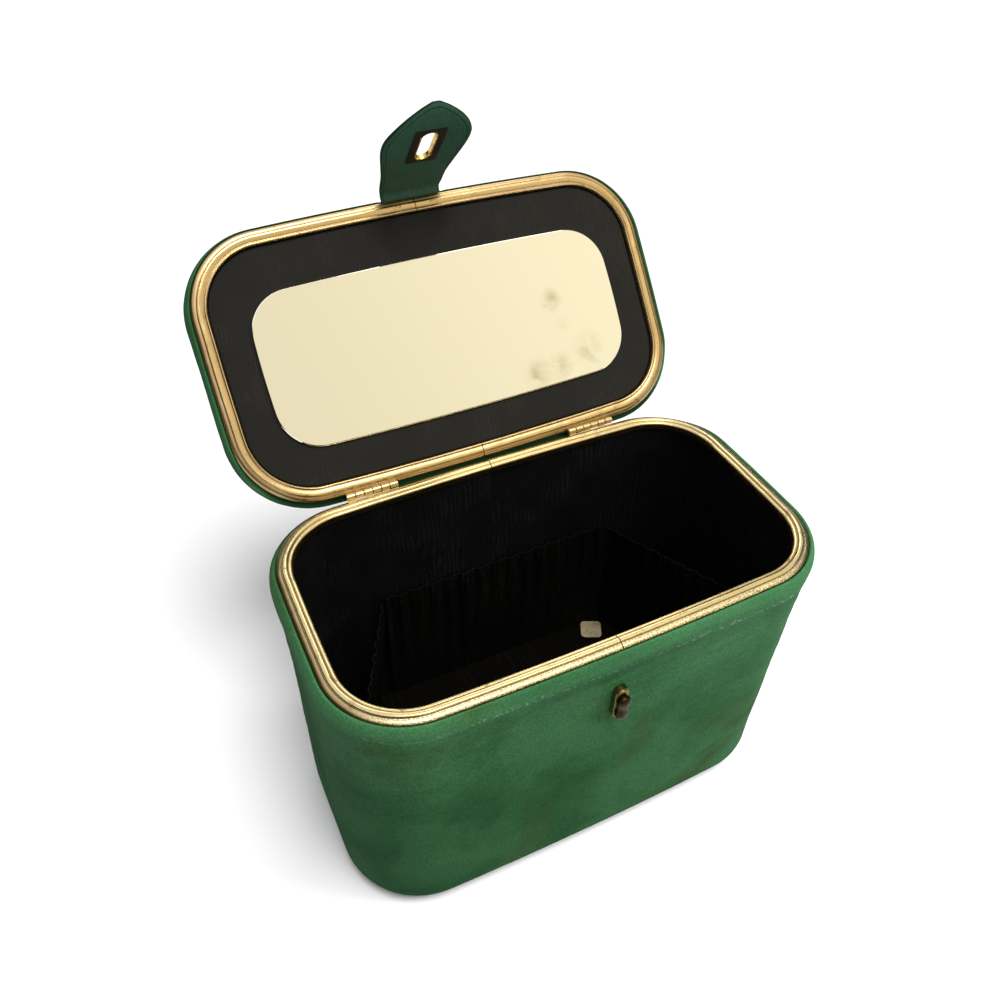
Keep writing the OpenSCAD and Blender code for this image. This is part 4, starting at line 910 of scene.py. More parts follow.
# painted shade: the lid's lip is painted dark at the back, where it lies in shade by the hinges, and more
# lightly all round
painted_shade_behind = 0.95 * smooth_step(lid_ways[..., 1], 0.4, 0.9) * (1 - smooth_step(rise, lid_low + 0.6, lid_low + 3))
lid_painted_shade = np.maximum(painted_shade_behind, 0.45 * (1 - smooth_step(rise, lid_low + 1, lid_low + 8)))
lid_masks = {"worn": lid_worn, "tone_and_painted_light": 0.5 + 0 * rise, "crease_and_painted_shade": lid_painted_shade}
lid_leather = make_piece("lid_leather", lid_points, list(faces) + cap, "lid", green_leather,
                         ON_LID, uv, masks=lid_masks)
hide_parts("lid_cover")
print("lid leather:", len(faces), "faces")

# %% [markdown]
# Under the hide lie the wadding and the stiff shell. Each is a cup between two lines that run
# inside the leather's section. They follow the leather as it is drawn here, slimmer than the CAD's
# and most of all at the front, so neither can come through it.

# %% Wadding and shell under the hide
def inside(depth_in):
    """The leather's section from the shoulder to the flat top, moved inwards."""
    line = outer[outer[:, 1] > lid_low + 1.6].copy()
    way = np.gradient(np.stack([line[:, 0] + 2.5 * line[:, 2], line[:, 1]], 1), axis=0)
    way /= np.linalg.norm(way, axis=1)[:, None]
    line[:, 0] -= depth_in * way[:, 1]
    line[:, 1] += depth_in * way[:, 0]
    return line


def cup(name, skin_out, skin_in, material, neck=()):
    outside, _ = closed_top(np.concatenate([np.reshape([p + (0,) for p in neck], (-1, 3)),
                                            inside(skin_out)]), amounts=SEEN_SWELL)
    lining_side, _ = closed_top(np.concatenate([np.reshape([(u - 1.2, z, 0) for u, z in neck], (-1, 3)),
                                                inside(skin_in)]), amounts=SEEN_SWELL)
    n, m = outside.shape[:2]
    out_faces, _ = grid_faces(outside, True, False)
    both = np.concatenate([out_faces, out_faces[:, ::-1] + n * m])
    foot = [[i * m, n * m + i * m, n * m + (i + 1) % n * m, (i + 1) % n * m] for i in range(n)]
    caps = [[i * m + m - 1 for i in range(n)], [n * m + i * m + m - 1 for i in range(n - 1, -1, -1)]]
    points = np.concatenate([outside.reshape(-1, 3), lining_side.reshape(-1, 3)])
    return make_piece(name, points, both.tolist() + foot + caps, "lid", material, ON_LID)


lid_wadding = cup("lid_wadding", 1.5, 2.7, wadding)
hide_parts("lid_padding")
lid_board = cup("lid_board", 2.9, 4.9, case_board,
                neck=[(6.2, LID_Z + 3.2), (6.2, lid_low + 0.6)])
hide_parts("lid_shell")

# %% [markdown]
# ## The black inside
# The walls are lined with watered cloth on card, which is not quite flat: it bellies a little
# between the corners. The floor is a covered board, the lid holds a covered panel, and three
# gathered pockets stand round the floor.

# %% Lining of the walls
lining_path = (
    [(1.15, 195.4, 0), (1.0, 193.0, 0)] + [(1.15, z, 0) for z in np.linspace(188, 15, 40)]
    + [(2.5, 15, 0)] + [(2.5, z, 0) for z in np.linspace(100, 195.4, 3)]
)
lining, lining_ways = round_the_case(lining_path)
belly = smooth_step(lining[..., 2], 15, 40) * (1 - smooth_step(lining[..., 2], 178, 194))
inner_face = (np.arange(len(lining_path)) < 42)[None]
lining[..., :2] += (belly * inner_face
                    * (0.3 * wobble(lining, 55, 61) + 0.12 * wobble(lining, 18, 62)))[..., None] * lining_ways
faces, uv = grid_faces(lining, True, True)
wall_lining = make_piece("wall_lining", lining, faces, "body", lining_cloth, uv=uv)
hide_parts("body_lining")


# %% Boards with round edges: the floor and the lid's panel
def board(name, u, low, high, edge, body, material, place=None, seed=70, dip=0.15, sunk=None):
    """A flat board whose face, at high, has soft edges and a slightly uneven cloth."""
    turn = [(u - edge + edge * math.sin(a),
             high - (high - low) * min(0.5, edge / abs(high - low)) * (1 - math.cos(a)), 0)
            for a in np.radians(np.linspace(90, 0, 6))]
    points, _ = closed_top([(u, low, 0)] + turn, 26)
    wave = dip * wobble(points, 34, seed)
    on_face = np.abs(points[..., 2] - high) < 0.05
    if sunk is not None:
        wave = wave * (1 - sunk(points)) - 0.25 * sunk(points)
    points[..., 2] += np.where(on_face, np.minimum(wave - dip, 0), 0) * (1 if high > low else -1)
    faces, _ = grid_faces(points, True, False)
    n, m = points.shape[:2]
    flat = points.reshape(-1, 3)
    uv = np.stack([flat[:, 0], flat[:, 1]], 1)[faces.ravel()]
    caps = [[i * m + m - 1 for i in range(n)], [i * m for i in range(n)]]
    return make_piece(name, points, list(faces) + caps, body, material, place, uv)


floor_piece = board("floor_cloth_board", 0.8, 14.6, FLOOR_Z, 1.6, "body", floor_cloth)
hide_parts("floor_board")
panel_piece = board("lid_panel_cloth", -0.25, LID_Z + 5, LID_Z + 3, 1.4, "lid", sheen_painted_panel_cloth,
                    ON_LID, seed=77, dip=0.1,
                    sunk=lambda p: (1 - smooth_step(np.abs(p[..., 0]), 116, 120))
                    * (1 - smooth_step(np.abs(p[..., 1] - MIRROR_Y), 49, 53)))
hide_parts("mirror_panel")
base_piece = board("base_cover_leather", -3.26, 1.5, 0.0, 0.8, "body", base_leather,
                   seed=79, dip=0.12)
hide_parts("base_cover")

# %% [markdown]
# ## The gathered pockets
# Each pocket is a strip of cloth, about a third longer than its place, drawn up along its top by
# an elastic and fixed at the foot. So the folds are tight and deep just under the top and die
# out downwards. How full it was cut is a guess, and the folds drawn here are shallower than that.
# They are a wave whose depth falls with the height, with a second, finer wave in the hem, and
# both wander a little.

# %% Build the pockets
POCKET_TOP, POCKET_FOOT, CLOTH_T = BODY_H - 75, FLOOR_Z + LIE, 0.8
POCKET_HALF, FULLNESS = 79, 1.3


def pocket(name, foot_a, foot_b, top_a, top_b, seed):
    foot_a, foot_b, top_a, top_b = (np.array(p, float) for p in (foot_a, foot_b, top_a, top_b))
    span = np.linalg.norm(top_b - top_a)
    folds = max(round(span / 11), 2)
    way = (top_b - top_a) / span
    out = np.array([way[1], -way[0]])
    s = np.linspace(0, 1, folds * 24 + 1)[:, None]
    h = np.concatenate([np.linspace(0, 0.9, 26), np.linspace(0.915, 1, 9)])[None]
    wander = np.stack([s * span + 0 * h, 30 * h + 0 * s, np.full(np.broadcast(s, h).shape, float(seed))], -1)
    phase = 2 * math.pi * folds * s + 0.9 * wobble(wander, 40, seed) * (0.3 + 0.7 * h)
    deep = (
        (0.5 + 1.3 * h) * (0.75 + 0.25 * np.cos(2 * math.pi * 3 * s))
        * (1 - 0.45 * smooth_step(h, 0.93, 0.95))
    )
    fine = (
        0.34 * np.sin(2 * math.pi * folds * 2.6 * s + 2 * wobble(wander, 16, seed + 1))
        * smooth_step(h, 0.55, 0.92)
    )
    wave = deep * np.cos(phase) + fine + 0.25 * wobble(wander, 22, seed + 2) * h * (1 - h) * 3
    edge = 1 - smooth_step(s, 0, 0.02) * (1 - smooth_step(s, 0.98, 1))
    wave = wave * (1 - 0.6 * edge)
    line = (
        (1 - h)[..., None] * ((1 - s) * foot_a + s * foot_b)[:, None] + h[..., None]
        * ((1 - s) * top_a + s * top_b)[:, None]
    )
    height = (1 - h) * POCKET_FOOT + h * POCKET_TOP + 0.5 * np.sin(phase * 2) * smooth_step(h, 0.95, 1)
    skins = []
    for skin in (0.5, -0.5):
        flat = line + ((wave + skin * CLOTH_T)[..., None]) * out
        skins.append(np.concatenate([flat, np.broadcast_to(height, wave.shape)[..., None]], -1))
    section = np.concatenate([skins[0], skins[1][:, ::-1]], 1)
    section[..., 2] = np.clip(section[..., 2], POCKET_FOOT, POCKET_TOP)
    faces, uv = grid_faces(section, False, True)
    m, last = section.shape[1], (len(section) - 1) * section.shape[1]
    half = m // 2
    ends = [[k, k + 1, m - 2 - k, m - 1 - k] for k in range(half - 1)]
    ends += [[last + m - 1 - k, last + m - 2 - k, last + k + 1, last + k] for k in range(half - 1)]
    piece = make_piece(name + "_cloth", section, list(faces) + ends, "body", pocket_cloth,
                       uv=uv, sharp=70)
    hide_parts(name)
    return piece


bow = LONG_BOW * (POCKET_HALF / HALF_W) ** 2
foot_y = HALF_D - FOOT_DRAW - LIE - 0.5 - CLOTH_T - bow
pocket("pocket_back", (-POCKET_HALF, foot_y), (POCKET_HALF, foot_y), (-POCKET_HALF, 62), (POCKET_HALF, 62),
       81)
for side, word in ((-1, "left"), (1, "right")):
    pocket(f"pocket_{word}", (side * 89.4, 64.6), (side * 132.4, -37.6), (side * 81.6, 59.4),
           (side * 129.8, -35), 85 + side)

# %% [markdown]
# ## The mirror
# A plate of silvered glass with bowed sides lies on the panel. Its edge was ground to a narrow
# slope, which catches the light as a thin bright line, so the section has that slope.

# %% Build the mirror
FACE_V, BACK_V, GROUND = LID_Z + 1.2, LID_Z + 3, 0.55


def mirror_outline(inset):
    points, ways = whole_outline(115.5, 47.7, 26, LONG_BOW * 0.7, SHORT_BOW * 1.6,
                                 np.linspace(0, 1, 41)[:-1], 24, 16)
    return points - inset * ways


rings = [(0.0, BACK_V), (0.0, FACE_V + 0.45), (GROUND * 0.5, FACE_V + 0.2), (GROUND, FACE_V)]
levels = [np.concatenate([mirror_outline(i) + [0, MIRROR_Y], np.full((len(mirror_outline(0)), 1), z)], 1)
          for i, z in rings]
mirror_points = np.stack(levels, 1)
faces, _ = grid_faces(mirror_points, True, False)
n, m = mirror_points.shape[:2]
caps = [[i * m + m - 1 for i in range(n)], [i * m for i in range(n)]]
mirror_piece = make_piece("mirror_plate", mirror_points, list(faces) + caps, "lid",
                          mirror_glass, ON_LID, sharp=8)
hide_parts("mirror")
print("mirror's middle:", [round(v, 4) for v in (ON_LID @ Vector((0, MIRROR_Y, FACE_V)))])

# %% [markdown]
# ## The closing tab
# The tab comes out between the lid's rim and its leather. With the lid open it stands up, and we
# see its lining, with a dark patch round the slot; the brass plate is on the outer side. Years
# over the lock have curled it, so its layers are laid along a curve. Near the lid it must bend
# with the joint, so those layers are blended between lid and tab, as leather bends.

# %% Outlines of the tab
tab_shares = [(0.2, 0.78), (0.31, 0.845), (0.45, 0.93), (0.55, 0.985), (0.63, 1), (0.71, 0.975),
              (0.8, 0.865), (0.89, 0.63), (0.96, 0.33), (1, 0.07)]
TAB_L, TAB_W, TAB_ROOT_W = 78.5, 52.8, 37.5
SLOT_AT = (LOCK_DOWN + TAB_UP + SEAM) / math.cos(math.radians(3.1))
SLOT_W, SLOT_L = 9.4, 26.4
TAB_START = -8.5  # the strap begins this far back, under the lid's leather
TAB_LEAN = 90 + TAB_REST - LID_ANGLE  # of its flat middle, from the upright


def tab_half(inset=0.0):
    """Half width of the tab at each depth below its bend, as a smooth curve."""
    raw = [(TAB_START - 1, 0.71), (-0.06, 0.715), (0.04, 0.75)] + tab_shares
    p = rounded_path([(s if s < 0 else s * TAB_L, w * TAB_W / 2) for s, w in raw], 3)
    depth = np.linspace(TAB_START, TAB_L - 0.15 - inset * 1.4, 96)
    return depth, np.maximum(np.interp(depth, p[:, 0], p[:, 1]) - inset, 0.25)


# %% The curve that the tab lies on, with the lid open
curve_depth = np.linspace(TAB_START, TAB_L, 200)
lean = np.radians(np.interp(curve_depth, [-3.6, 0.6, 8, 16, 58, TAB_L],
                            [-39.4, 34, 34, TAB_LEAN, TAB_LEAN, 6]))
step = np.diff(curve_depth)
curve_y = -np.concatenate([[0], np.cumsum((np.sin(lean[1:]) + np.sin(lean[:-1])) / 2 * step)])
curve_z = np.concatenate([[0], np.cumsum((np.cos(lean[1:]) + np.cos(lean[:-1])) / 2 * step)])
slot_middle = ON_TAB @ Vector((0, -0.1, -SLOT_AT))
curve_y += slot_middle.y - np.interp(SLOT_AT, curve_depth, curve_y)
curve_z += slot_middle.z - np.interp(SLOT_AT, curve_depth, curve_z)


def curled(points):
    """Points of (across, height above the middle of the hide, -depth) laid on the tab's curve."""
    depth = -points[..., 2]
    a, y, z = (np.interp(depth, curve_depth, c) for c in (lean, curve_y, curve_z))
    v = points[..., 1]
    aside = np.interp(depth, [0, 60, TAB_L], [0, 0.3, 1.6])
    return np.stack([points[..., 0] + aside, y - v * np.cos(a), z - v * np.sin(a)], -1)


print("the tab's tip stands at", [round(float(v), 1) for v in (curve_y[-1], curve_z[-1])])

# %% [markdown]
# A layer with a slot in it is built as two rings of points, one on the outer line and one on the
# slot, joined by a fan of columns. For each station the outer point is where a ray from the
# slot's middle meets the outline, so the columns never cross. The columns stand close together
# near the edge, where the hide is rounded off and a creased line runs.

# %% A layer with a slot
def ring_at(angles, outline):
    """Where rays from the slot's middle meet a closed outline of points (x, depth)."""
    a = np.arctan2(outline[:, 0], outline[:, 1] - SLOT_AT)
    r = np.hypot(outline[:, 0], outline[:, 1] - SLOT_AT)
    order = np.argsort(a)
    radius = np.interp(angles, a[order], r[order], period=2 * math.pi)
    return np.stack([radius * np.sin(angles), SLOT_AT + radius * np.cos(angles)], 1)


def closed_outline(depth, half):
    across = np.linspace(1, -1, 60)[1:-1]
    root = np.stack([half[0] * across, np.full(58, depth[0])], 1)
    right, left = np.stack([half, depth], 1), np.stack([-half[::-1], depth[::-1]], 1)
    return np.concatenate([right, left, root[::-1]])


def slot_outline(grow=0.0):
    a = np.linspace(-math.pi, math.pi, 240, endpoint=False)
    w, straight = SLOT_W / 2 + grow, (SLOT_L - SLOT_W) / 2
    d = np.stack([np.sin(a) * w, np.cos(a) * w], 1)
    d[:, 1] += np.where(np.cos(a) >= 0, straight, -straight)
    d[:, 1] += SLOT_AT
    fill = np.linspace(-straight, straight, 60)
    lines = np.concatenate([np.stack([np.full(60, w), SLOT_AT + fill], 1),
                            np.stack([np.full(60, -w), SLOT_AT + fill], 1)])
    return np.concatenate([d, lines])


def slotted_layer(name, outline, low, high, soft, material, near=(0.25, 0.5, 0.9), columns=14,
                  grow=0.0,
                  edge_material=None, crease_at=None):
    """A sheet between y low and y high, with softened outer edges and a slot through it."""
    corner_angles = np.arctan2([TAB_ROOT_W / 2, -TAB_ROOT_W / 2], [TAB_START - SLOT_AT] * 2)
    angles = np.unique(np.concatenate([np.linspace(-math.pi, math.pi, 361)[:-1], corner_angles]))
    outer, inner = ring_at(angles, outline), ring_at(angles, slot_outline(grow))
    reach = np.linalg.norm(inner - outer, axis=1)[:, None]
    gaps = np.concatenate([np.repeat([(0.0,) + tuple(near)], len(angles), 0),
                           near[-1] + (reach - near[-1]) * np.linspace(0, 1, columns)[1:]], 1)
    both = np.concatenate([gaps, gaps[:, ::-1]], 1)
    m = both.shape[1]
    p = outer[:, None] + (inner - outer)[:, None] * (both / reach)[..., None]
    level = np.where(np.arange(m) < m // 2, high, low)[None] * np.ones((len(angles), 1))
    level -= np.sign(level - (low + high) / 2) * soft * (1 - smooth_step(both, 0, 1.3))
    crease_and_painted_shade = np.zeros_like(level)
    if crease_at is not None:
        crease_and_painted_shade = np.exp(-(((both - crease_at) / 0.3) ** 2)) * (np.arange(m) < m // 2)
        level -= 0.12 * crease_and_painted_shade
    points = np.stack([p[..., 0], level, -p[..., 1]], -1)
    faces, _ = grid_faces(points, True, True)
    flat = points.reshape(-1, 3)
    uv = np.stack([flat[:, 0], flat[:, 2]], 1)[faces.ravel()]
    crosses = points[..., 2].max() > -8  # the strap leaves the lid here, so it is drawn bent across the joint and rides on no body
    piece = make_piece(name, curled(points), faces, None if crosses else "tab", material, None,
                       uv, 50,
                       masks={"crease_and_painted_shade": crease_and_painted_shade * 0.8})
    if crosses:
        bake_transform(piece)
    if edge_material is not None:
        piece.data.materials.append(edge_material)
        rims = np.isin(faces[:, 0] % m, [m - 1, m // 2 - 1])
        piece.data.polygons.foreach_set("material_index", rims.astype(np.int32))
    return piece


# %% Hide and lining
near_edge = (0.25, 0.5, 0.9, 1.4, 1.9, 2.15, 2.4, 2.65, 2.9, 3.4)
depth, half = tab_half()
tab_skin = slotted_layer("tab_hide", closed_outline(depth, half), -0.9, 0.7, 0.3, tab_leather,
                         near_edge, edge_material=edge_paint, crease_at=2.4)
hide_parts("tab_leather", "tab_root")
depth, half = tab_half(0.5)
lining_skin = slotted_layer("tab_inner_hide", closed_outline(depth, half), 0.7, 1.1, 0.2, tab_lining,
                            near_edge, edge_material=edge_paint, crease_at=2.4)
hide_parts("tab_lining")


# %% Patch and plate
def rectangle_outline(w, l, r, n=10):
    out = []
    for sx, sy, start in ((1, 1, 0), (-1, 1, 90), (-1, -1, 180), (1, -1, 270)):
        for a in np.radians(np.linspace(start, start + 90, n)):
            out.append((sx * (w / 2 - r) + r * math.cos(a), sy * (l / 2 - r) + r * math.sin(a)))
    p = np.array(out)
    p = np.concatenate([p, p[:1]])
    fine = [p[i] + (p[i + 1] - p[i]) * t for i in range(len(p) - 1)
            for t in np.linspace(0, 1, 8, endpoint=False)]
    return np.array(fine) + [0, SLOT_AT]


patch = slotted_layer("tab_slot_patch", rectangle_outline(19, 31.5, 1.2), 1.1, 1.42, 0.12, patch_leather,
                      (0.3, 0.6), 5, 0.35)
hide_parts("tab_patch")
# the plate's slot is lined by a brass eyelet that reaches through the leather
plate_piece = slotted_layer("tab_slot_plate", rectangle_outline(19, 31.5, 1.2), -1.6, -0.9, 0.3,
                            lock_brass, (0.3, 0.7), 5, -0.02)
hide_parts("tab_plate")
turn = np.linspace(-math.pi, math.pi, 121)[:-1]
eyelet = np.stack([
    np.stack([ring_at(turn, slot_outline(g))[:, 0], np.full(120, v),
              -ring_at(turn, slot_outline(g))[:, 1]], 1)
    for g, v in ((-0.02, -1.7), (-0.3, -1.55), (-0.32, 0.9), (-0.28, 1.3), (-0.02, 1.44), (0.3, 1.5),
                 (0.45, 1.44), (0.25, 1.3), (-0.02, 1.1))], 1)
faces, uv = grid_faces(eyelet, True, True)
make_piece("tab_eyelet", curled(eyelet), faces, "tab", eyelet_brass, None, uv, 50)


# %% [markdown]
# ## The turn lock
# A raised brass collar is riveted through the leather, and a domed knob turns on it. Both are
# stadium shapes, built as a stack of stadium rings with their edges eased, because a sharp
# edge never shows a highlight.

# %% Stack of stadium rings
def stadium_ring(w, l, n=14):
    bow = [((w / 2) * math.cos(a), (l - w) / 2 + (w / 2) * math.sin(a))
           for a in np.radians(np.linspace(0, 180, n))]
    side = [(-w / 2, z) for z in np.linspace((l - w) / 2, -(l - w) / 2, 14)[1:-1]]
    return np.array(bow + side + [(-x, -z) for x, z in bow + side])


def stadium_stack(name, levels, body, material, place, waist=0.0):
    """levels: (width, length, height out of the wall), from the wall outwards. A waist pinches the middle."""
    rings = []
    for w, l, y in levels:
        ring = stadium_ring(w, l, 26)
        pinch = np.exp(-((ring[:, 1] / 2.6) ** 2))
        top = (y > 6) * pinch
        rings.append(np.stack([ring[:, 0] * (1 - waist * pinch), -(y - 4.0 * waist * top), ring[:, 1]], 1))
    points = np.stack(rings, 1)
    faces, uv = grid_faces(points, True, False)
    n, m = points.shape[:2]
    caps = [[i * m for i in range(n)], [i * m + m - 1 for i in range(n)]]
    return make_piece(name, points, list(faces) + caps, body, material, place, uv, 30)


collar_levels = [(8, 25, 0.1), (8, 25, 3.3), (7.9, 24.9, 3.6), (7.6, 24.6, 3.75), (7.3, 24.3, 3.8),
                 (7.2, 24.2, 4.1), (7.0, 24.0, 4.35), (6.4, 23.4, 4.5)]
collar = stadium_stack("lock_collar_metal", collar_levels, "body", lock_brass, AT_LOCK)
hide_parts("lock_collar")
dome = [(7.2, 17.6, 4.9), (7.8, 18.2, 5.1), (8.0, 18.4, 5.7)]
dome += [(8 * math.cos(a), 10.4 + 8 * math.cos(a), 6.4 + 2.45 * math.sin(a))
         for a in np.radians(np.linspace(4, 80, 10))]
knob = stadium_stack("turn_knob_metal", dome, "knob", knob_bronze,
                     AT_LOCK @ shift(0, 0, -0.8), waist=0.2)
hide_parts("turn_knob")
stadium_stack("turn_knob_shaft", [(3.3, 3.31, 0.4), (3.3, 3.31, 5.2)], "knob", lock_brass,
              AT_LOCK)
print("knob stands", round(max(y for _, _, y in dome), 2), "mm out of the wall")


# %% [markdown]
# ## The carrying handle
# The photograph hides the top of the lid, so this is the plain handle of such a case: a turned,
# leather-covered grip with brass caps, two arms, and posts riveted to the lid. The leather is
# sewn along the inner side of the grip.

# %% Turned pieces along X
def turned(name, profile, body, material, place, steps=48, closed=False):
    """profile: (x, radius) along the X axis."""
    a = np.radians(np.linspace(0, 360, steps + 1)[:-1])
    p = np.asarray(profile, float)
    points = np.stack([np.broadcast_to(p[:, 0], (steps, len(p))), np.outer(np.cos(a), p[:, 1]),
                       np.outer(np.sin(a), p[:, 1])], -1)
    faces, uv = grid_faces(points, True, closed)
    n, m = points.shape[:2]
    caps = [] if closed else [[i * m for i in range(n)], [i * m + m - 1 for i in range(n)]]
    return make_piece(name, points, list(faces) + caps, body, material, place, uv, 35)


GRIP_HALF, CAP_L, REACH, GRIP_BELLY = 48.75 - 1.5, 7.0, 30.0, 1.3
AT_GRIP = ON_HANDLE @ shift(0, 0, REACH)
grip_line = (
    [(-GRIP_HALF + 0.2, 5.15)]
    + [(s * (GRIP_HALF - CAP_L), 5.2 + GRIP_BELLY * (1 - s * s) + 0.2) for s in np.linspace(-1, 1, 41)]
    + [(GRIP_HALF - 0.2, 5.15)]
)
grip = turned("handle_grip_leather", grip_line, "handle", handle_leather, AT_GRIP)
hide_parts("handle_grip")
for i in range(23):
    x = -33 + 3 * i
    s = x / (GRIP_HALF - CAP_L)
    turned(f"handle_stitch_{i:02d}", [(-0.9, 0.12), (-0.75, 0.3), (0, 0.36), (0.75, 0.3), (0.9, 0.12)],
           "handle", thread,
                    AT_GRIP @ shift(x, 0, -(5.35 + GRIP_BELLY * (1 - s * s)))
                    @ Matrix.Rotation(math.radians(14), 4, "Z"), steps=8)


# %% Materials on the CAD pieces that stay
plain = {
    "base_tray": case_board, "body_band": case_board, "floor_pad": wadding,
    "edge_padding": wadding, "lock_plate": plain_steel, "lock_rivets": lock_brass,
    "mirror_backer": backing_card, "handle_core": plain_steel, "handle_rivets": handle_brass,
}
for word in ("left", "right"):
    plain[f"hinge_pin_{word}"] = hinge_brass
    for kind in ("handle_post", "handle_pin", "handle_end"):
        plain[f"{kind}_{word}"] = handle_brass
for kind in ("body", "lid"):
    plain[f"hinge_nails_{kind}"] = hinge_brass
for name, material in plain.items():
    nodes[name].data.materials.clear()
    nodes[name].data.materials.append(material)
left = sorted(n for n, o in nodes.items() if not o.hide_render and n not in plain)
print("CAD nodes still plain:", left)

# %% [markdown]
# ## The blank label
# A small square of pale paper lies on the floor at the back right. It is bare, its corners are
# round, and it has curled a little.

# %% Build the label
LABEL_W = 15.4
ring = rectangle_outline(LABEL_W, LABEL_W, 3.2) - [0, SLOT_AT]
shares = np.array([1, 0.97, 0.8, 0.6, 0.4, 0.2, 0.03])


def lift(p):
    """How far the paper has curled up from the floor."""
    curl = np.clip(np.hypot(p[..., 0], p[..., 1]) / 11, 0, 1) ** 2
    return 0.5 * curl * (0.6 + 0.4 * np.sign(p[..., 0]))


top = ring[:, None] * shares[None, :, None]
label = np.concatenate([
    np.concatenate([top, (0.25 + lift(top))[..., None]], -1),
    np.concatenate([top[:, ::-1], (0.02 + lift(top[:, ::-1]))[..., None]], -1)], 1)
faces, uv = grid_faces(label, True, True)
label_place = shift(77, 56, FLOOR_Z) @ Matrix.Rotation(math.radians(-27), 4, "Z")
label_piece = make_piece("paper_label", label, faces, "body", label_paper, label_place, uv)
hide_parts("blank_label")

# %% [markdown]
# ## Floor and light
# The photograph has a white ground with a short soft shadow at the left. The floor is a pale
# diffuse plane that the camera alone sees brighter, so that it turns white where it is lit and
# still takes the shadow. The shadow under the lid says that the light came from nearly overhead,
# so the key is a broad, soft sun there. Two weak lamps, at the right and behind, shape the front
# and the rims, and the world fills in.

# %% Floor
floor_mesh = bpy.data.meshes.new("studio_floor")
floor_mesh.from_pydata([(-6, -6, 0), (6, -6, 0), (6, 6, 0), (-6, 6, 0)], [], [(0, 1, 2, 3)])
studio_floor = bpy.data.objects.new("studio_floor", floor_mesh)
bpy.context.scene.collection.objects.link(studio_floor)
floor_material, tree, shader = start_material("studio floor", Roughness=1.0, Specular_IOR_Level=0.0)
path = tree.nodes.new("ShaderNodeLightPath")
mirrored = maths(tree, "ADD", path.outputs["Is Glossy Ray"], path.outputs["Is Transmission Ray"], clamp=True)
base = mix_colour(tree, mirrored, (0.25, 0.25, 0.25, 1), (0.7, 0.7, 0.7, 1))
seen = mix_colour(tree, path.outputs["Is Camera Ray"], base, (0.81, 0.81, 0.81, 1))
tree.links.new(seen, shader.inputs["Base Color"])
floor_mesh.materials.append(floor_material)

# %% World and lamps
scene = bpy.context.scene
world = bpy.data.worlds.new("studio")
scene.world = world
world.use_nodes = True
tree = world.node_tree
path = tree.nodes.new("ShaderNodeLightPath")
seen = maths(tree, "ADD", path.outputs["Is Camera Ray"], path.outputs["Is Glossy Ray"], clamp=True)
seen = maths(tree, "ADD", seen, path.outputs["Is Transmission Ray"], clamp=True)
strength = maths(tree, "MULTIPLY_ADD", seen, 0.5, 0.5)
tree.nodes["Background"].inputs["Color"].default_value = (1, 1, 1, 1)
tree.links.new(strength, tree.nodes["Background"].inputs["Strength"])


def lamp(name, kind, place, target, energy):
    data = bpy.data.lights.new(name, kind)
    data.energy = energy
    obj = bpy.data.objects.new(name, data)
    obj.location = place
    obj.rotation_euler = (Vector(target) - Vector(place)).to_track_quat("-Z", "Y").to_euler()
    scene.collection.objects.link(obj)
    return obj


key = lamp("key", "SUN", (0.14, -0.46, 1.5), (0, 0, 0), 2.7)
key.data.angle = math.radians(25)
side_lamp = lamp("side", "AREA", (0.62, -0.50, 0.62), (0, 0, 0.12), 4.0)
side_lamp.data.shape, side_lamp.data.size = "DISK", 0.35
side_lamp.visible_glossy = False  # or the mirror shows it
back_lamp = lamp("back", "AREA", (0.53, 1.06, 1.25), (0, 0, 0.2), 2.6)
back_lamp.data.shape, back_lamp.data.size = "DISK", 0.7

# %% [markdown]
# Polished metal shows only what stands round it. In a room that is white all round, brass turns
# into a flat pale yellow. So a dark curtain hangs in a ring round the case, low enough to leave
# the ceiling white. Only reflections see it: it gives the rims their dark lines and bright crest.

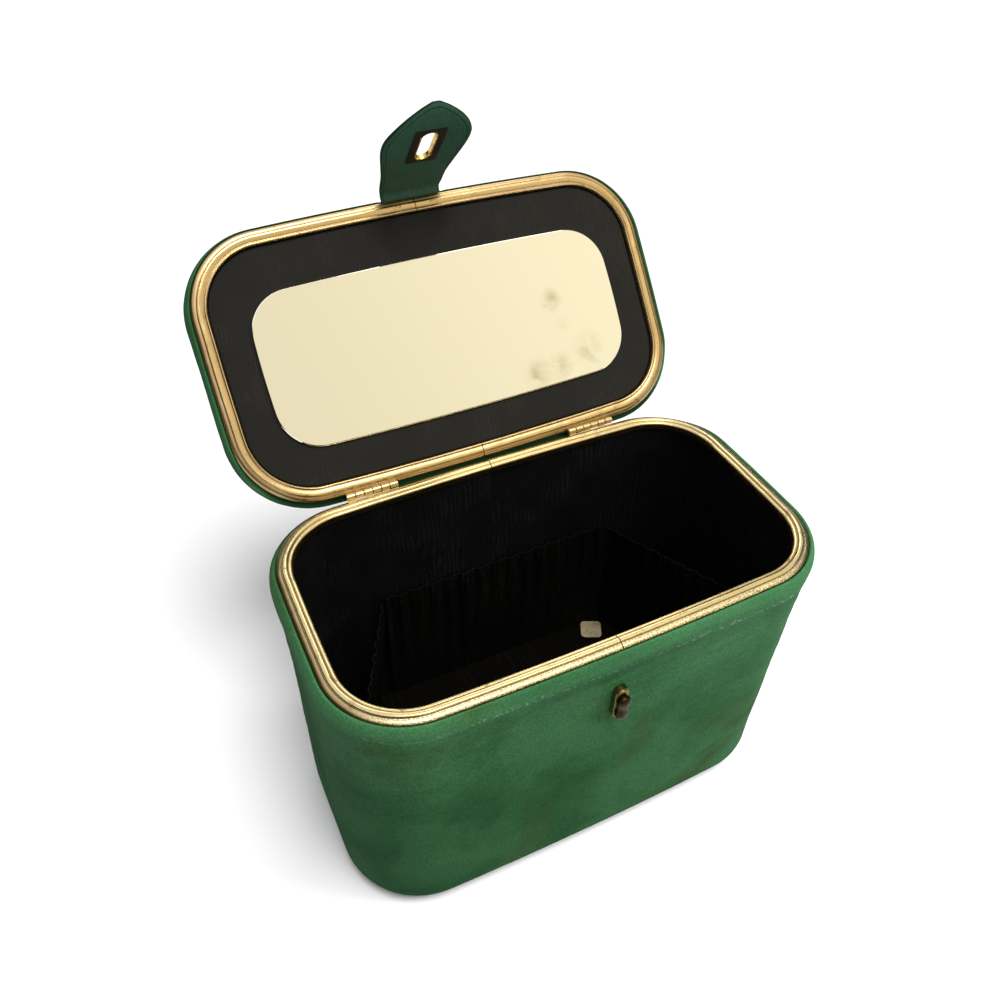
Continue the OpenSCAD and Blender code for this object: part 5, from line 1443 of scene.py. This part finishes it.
# %% Curtain ring
ring_angles = np.radians(np.linspace(0, 360, 49)[:-1])
curtain = np.array([[(2.6 * math.sin(a), -2.6 * math.cos(a), z) for z in (0.02, 1.0, 1.9)]
                    for a in ring_angles])
faces, _ = grid_faces(curtain, True, False)
curtain_mesh = bpy.data.meshes.new("dark_curtain")
curtain_mesh.from_pydata(curtain.reshape(-1, 3).tolist(), [], faces.tolist())
dark_curtain = bpy.data.objects.new("dark_curtain", curtain_mesh)
scene.collection.objects.link(dark_curtain)
dark_curtain.visible_camera = dark_curtain.visible_diffuse = dark_curtain.visible_shadow = False
curtain_material, tree, shader = start_material("dark curtain", Roughness=1.0, Specular_IOR_Level=0.0)
folds = add_node(tree, "ShaderNodeTexWave", None, Vector=object_place(tree), Scale=4.0,
                 Distortion=1.5).outputs[1]
tree.links.new(mix_colour(tree, folds, (0.04, 0.035, 0.03, 1), (0.10, 0.09, 0.075, 1)),
               shader.inputs["Base Color"])
curtain_mesh.materials.append(curtain_material)
print("curtain up to", curtain[..., 2].max(), "m")


# %% [markdown]
# ## The cream wall that the mirror sees
# A mirror shows the room, not itself. In the photograph it shows a cream wall above and in front
# of the case, so a large cream card stands there. Only reflections see it.

# %% Cream card
mirror_middle = ON_LID @ Vector((0, MIRROR_Y, FACE_V)) * MM
mirror_normal = (ON_LID.to_3x3() @ Vector((0, 0, -1))).normalized()
look = (mirror_middle - camera.matrix_world.translation).normalized()
bounce = look - 2 * look.dot(mirror_normal) * mirror_normal
card_mesh = bpy.data.meshes.new("cream_card")
card_mesh.from_pydata([(-0.8, -0.7, 0), (0.8, -0.7, 0), (0.8, 0.7, 0), (-0.8, 0.7, 0)], [], [(0, 1, 2, 3)])
cream_card = bpy.data.objects.new("cream_card", card_mesh)
scene.collection.objects.link(cream_card)
cream_card.location = mirror_middle + bounce * 1.0
cream_card.rotation_euler = bounce.to_track_quat("Z", "Y").to_euler()
cream_card.visible_camera = cream_card.visible_diffuse = cream_card.visible_shadow = False
card_material = bpy.data.materials.new("cream card")
card_material.use_nodes = True
tree = card_material.node_tree
tree.nodes.clear()
place = tree.nodes.new("ShaderNodeTexCoord").outputs["Object"]
across = add_node(tree, "ShaderNodeSeparateXYZ", None, Vector=place)
# the card is no lamp: it glows by itself, a little brighter towards one side, as painted light of a lit wall
level = spread(tree, across.outputs[0], -0.35, 0.4, 0.86, 1.04)
glow = add_node(tree, "ShaderNodeEmission", None, Color=(0.98, 0.905, 0.66, 1), Strength=level)
out = tree.nodes.new("ShaderNodeOutputMaterial")
tree.links.new(glow.outputs[0], out.inputs[0])
card_mesh.materials.append(card_material)
print("card stands at", [round(v, 2) for v in cream_card.location])

# %% Colour management and the last line
scene.view_settings.view_transform = "Standard"
bpy.context.view_layer.update()
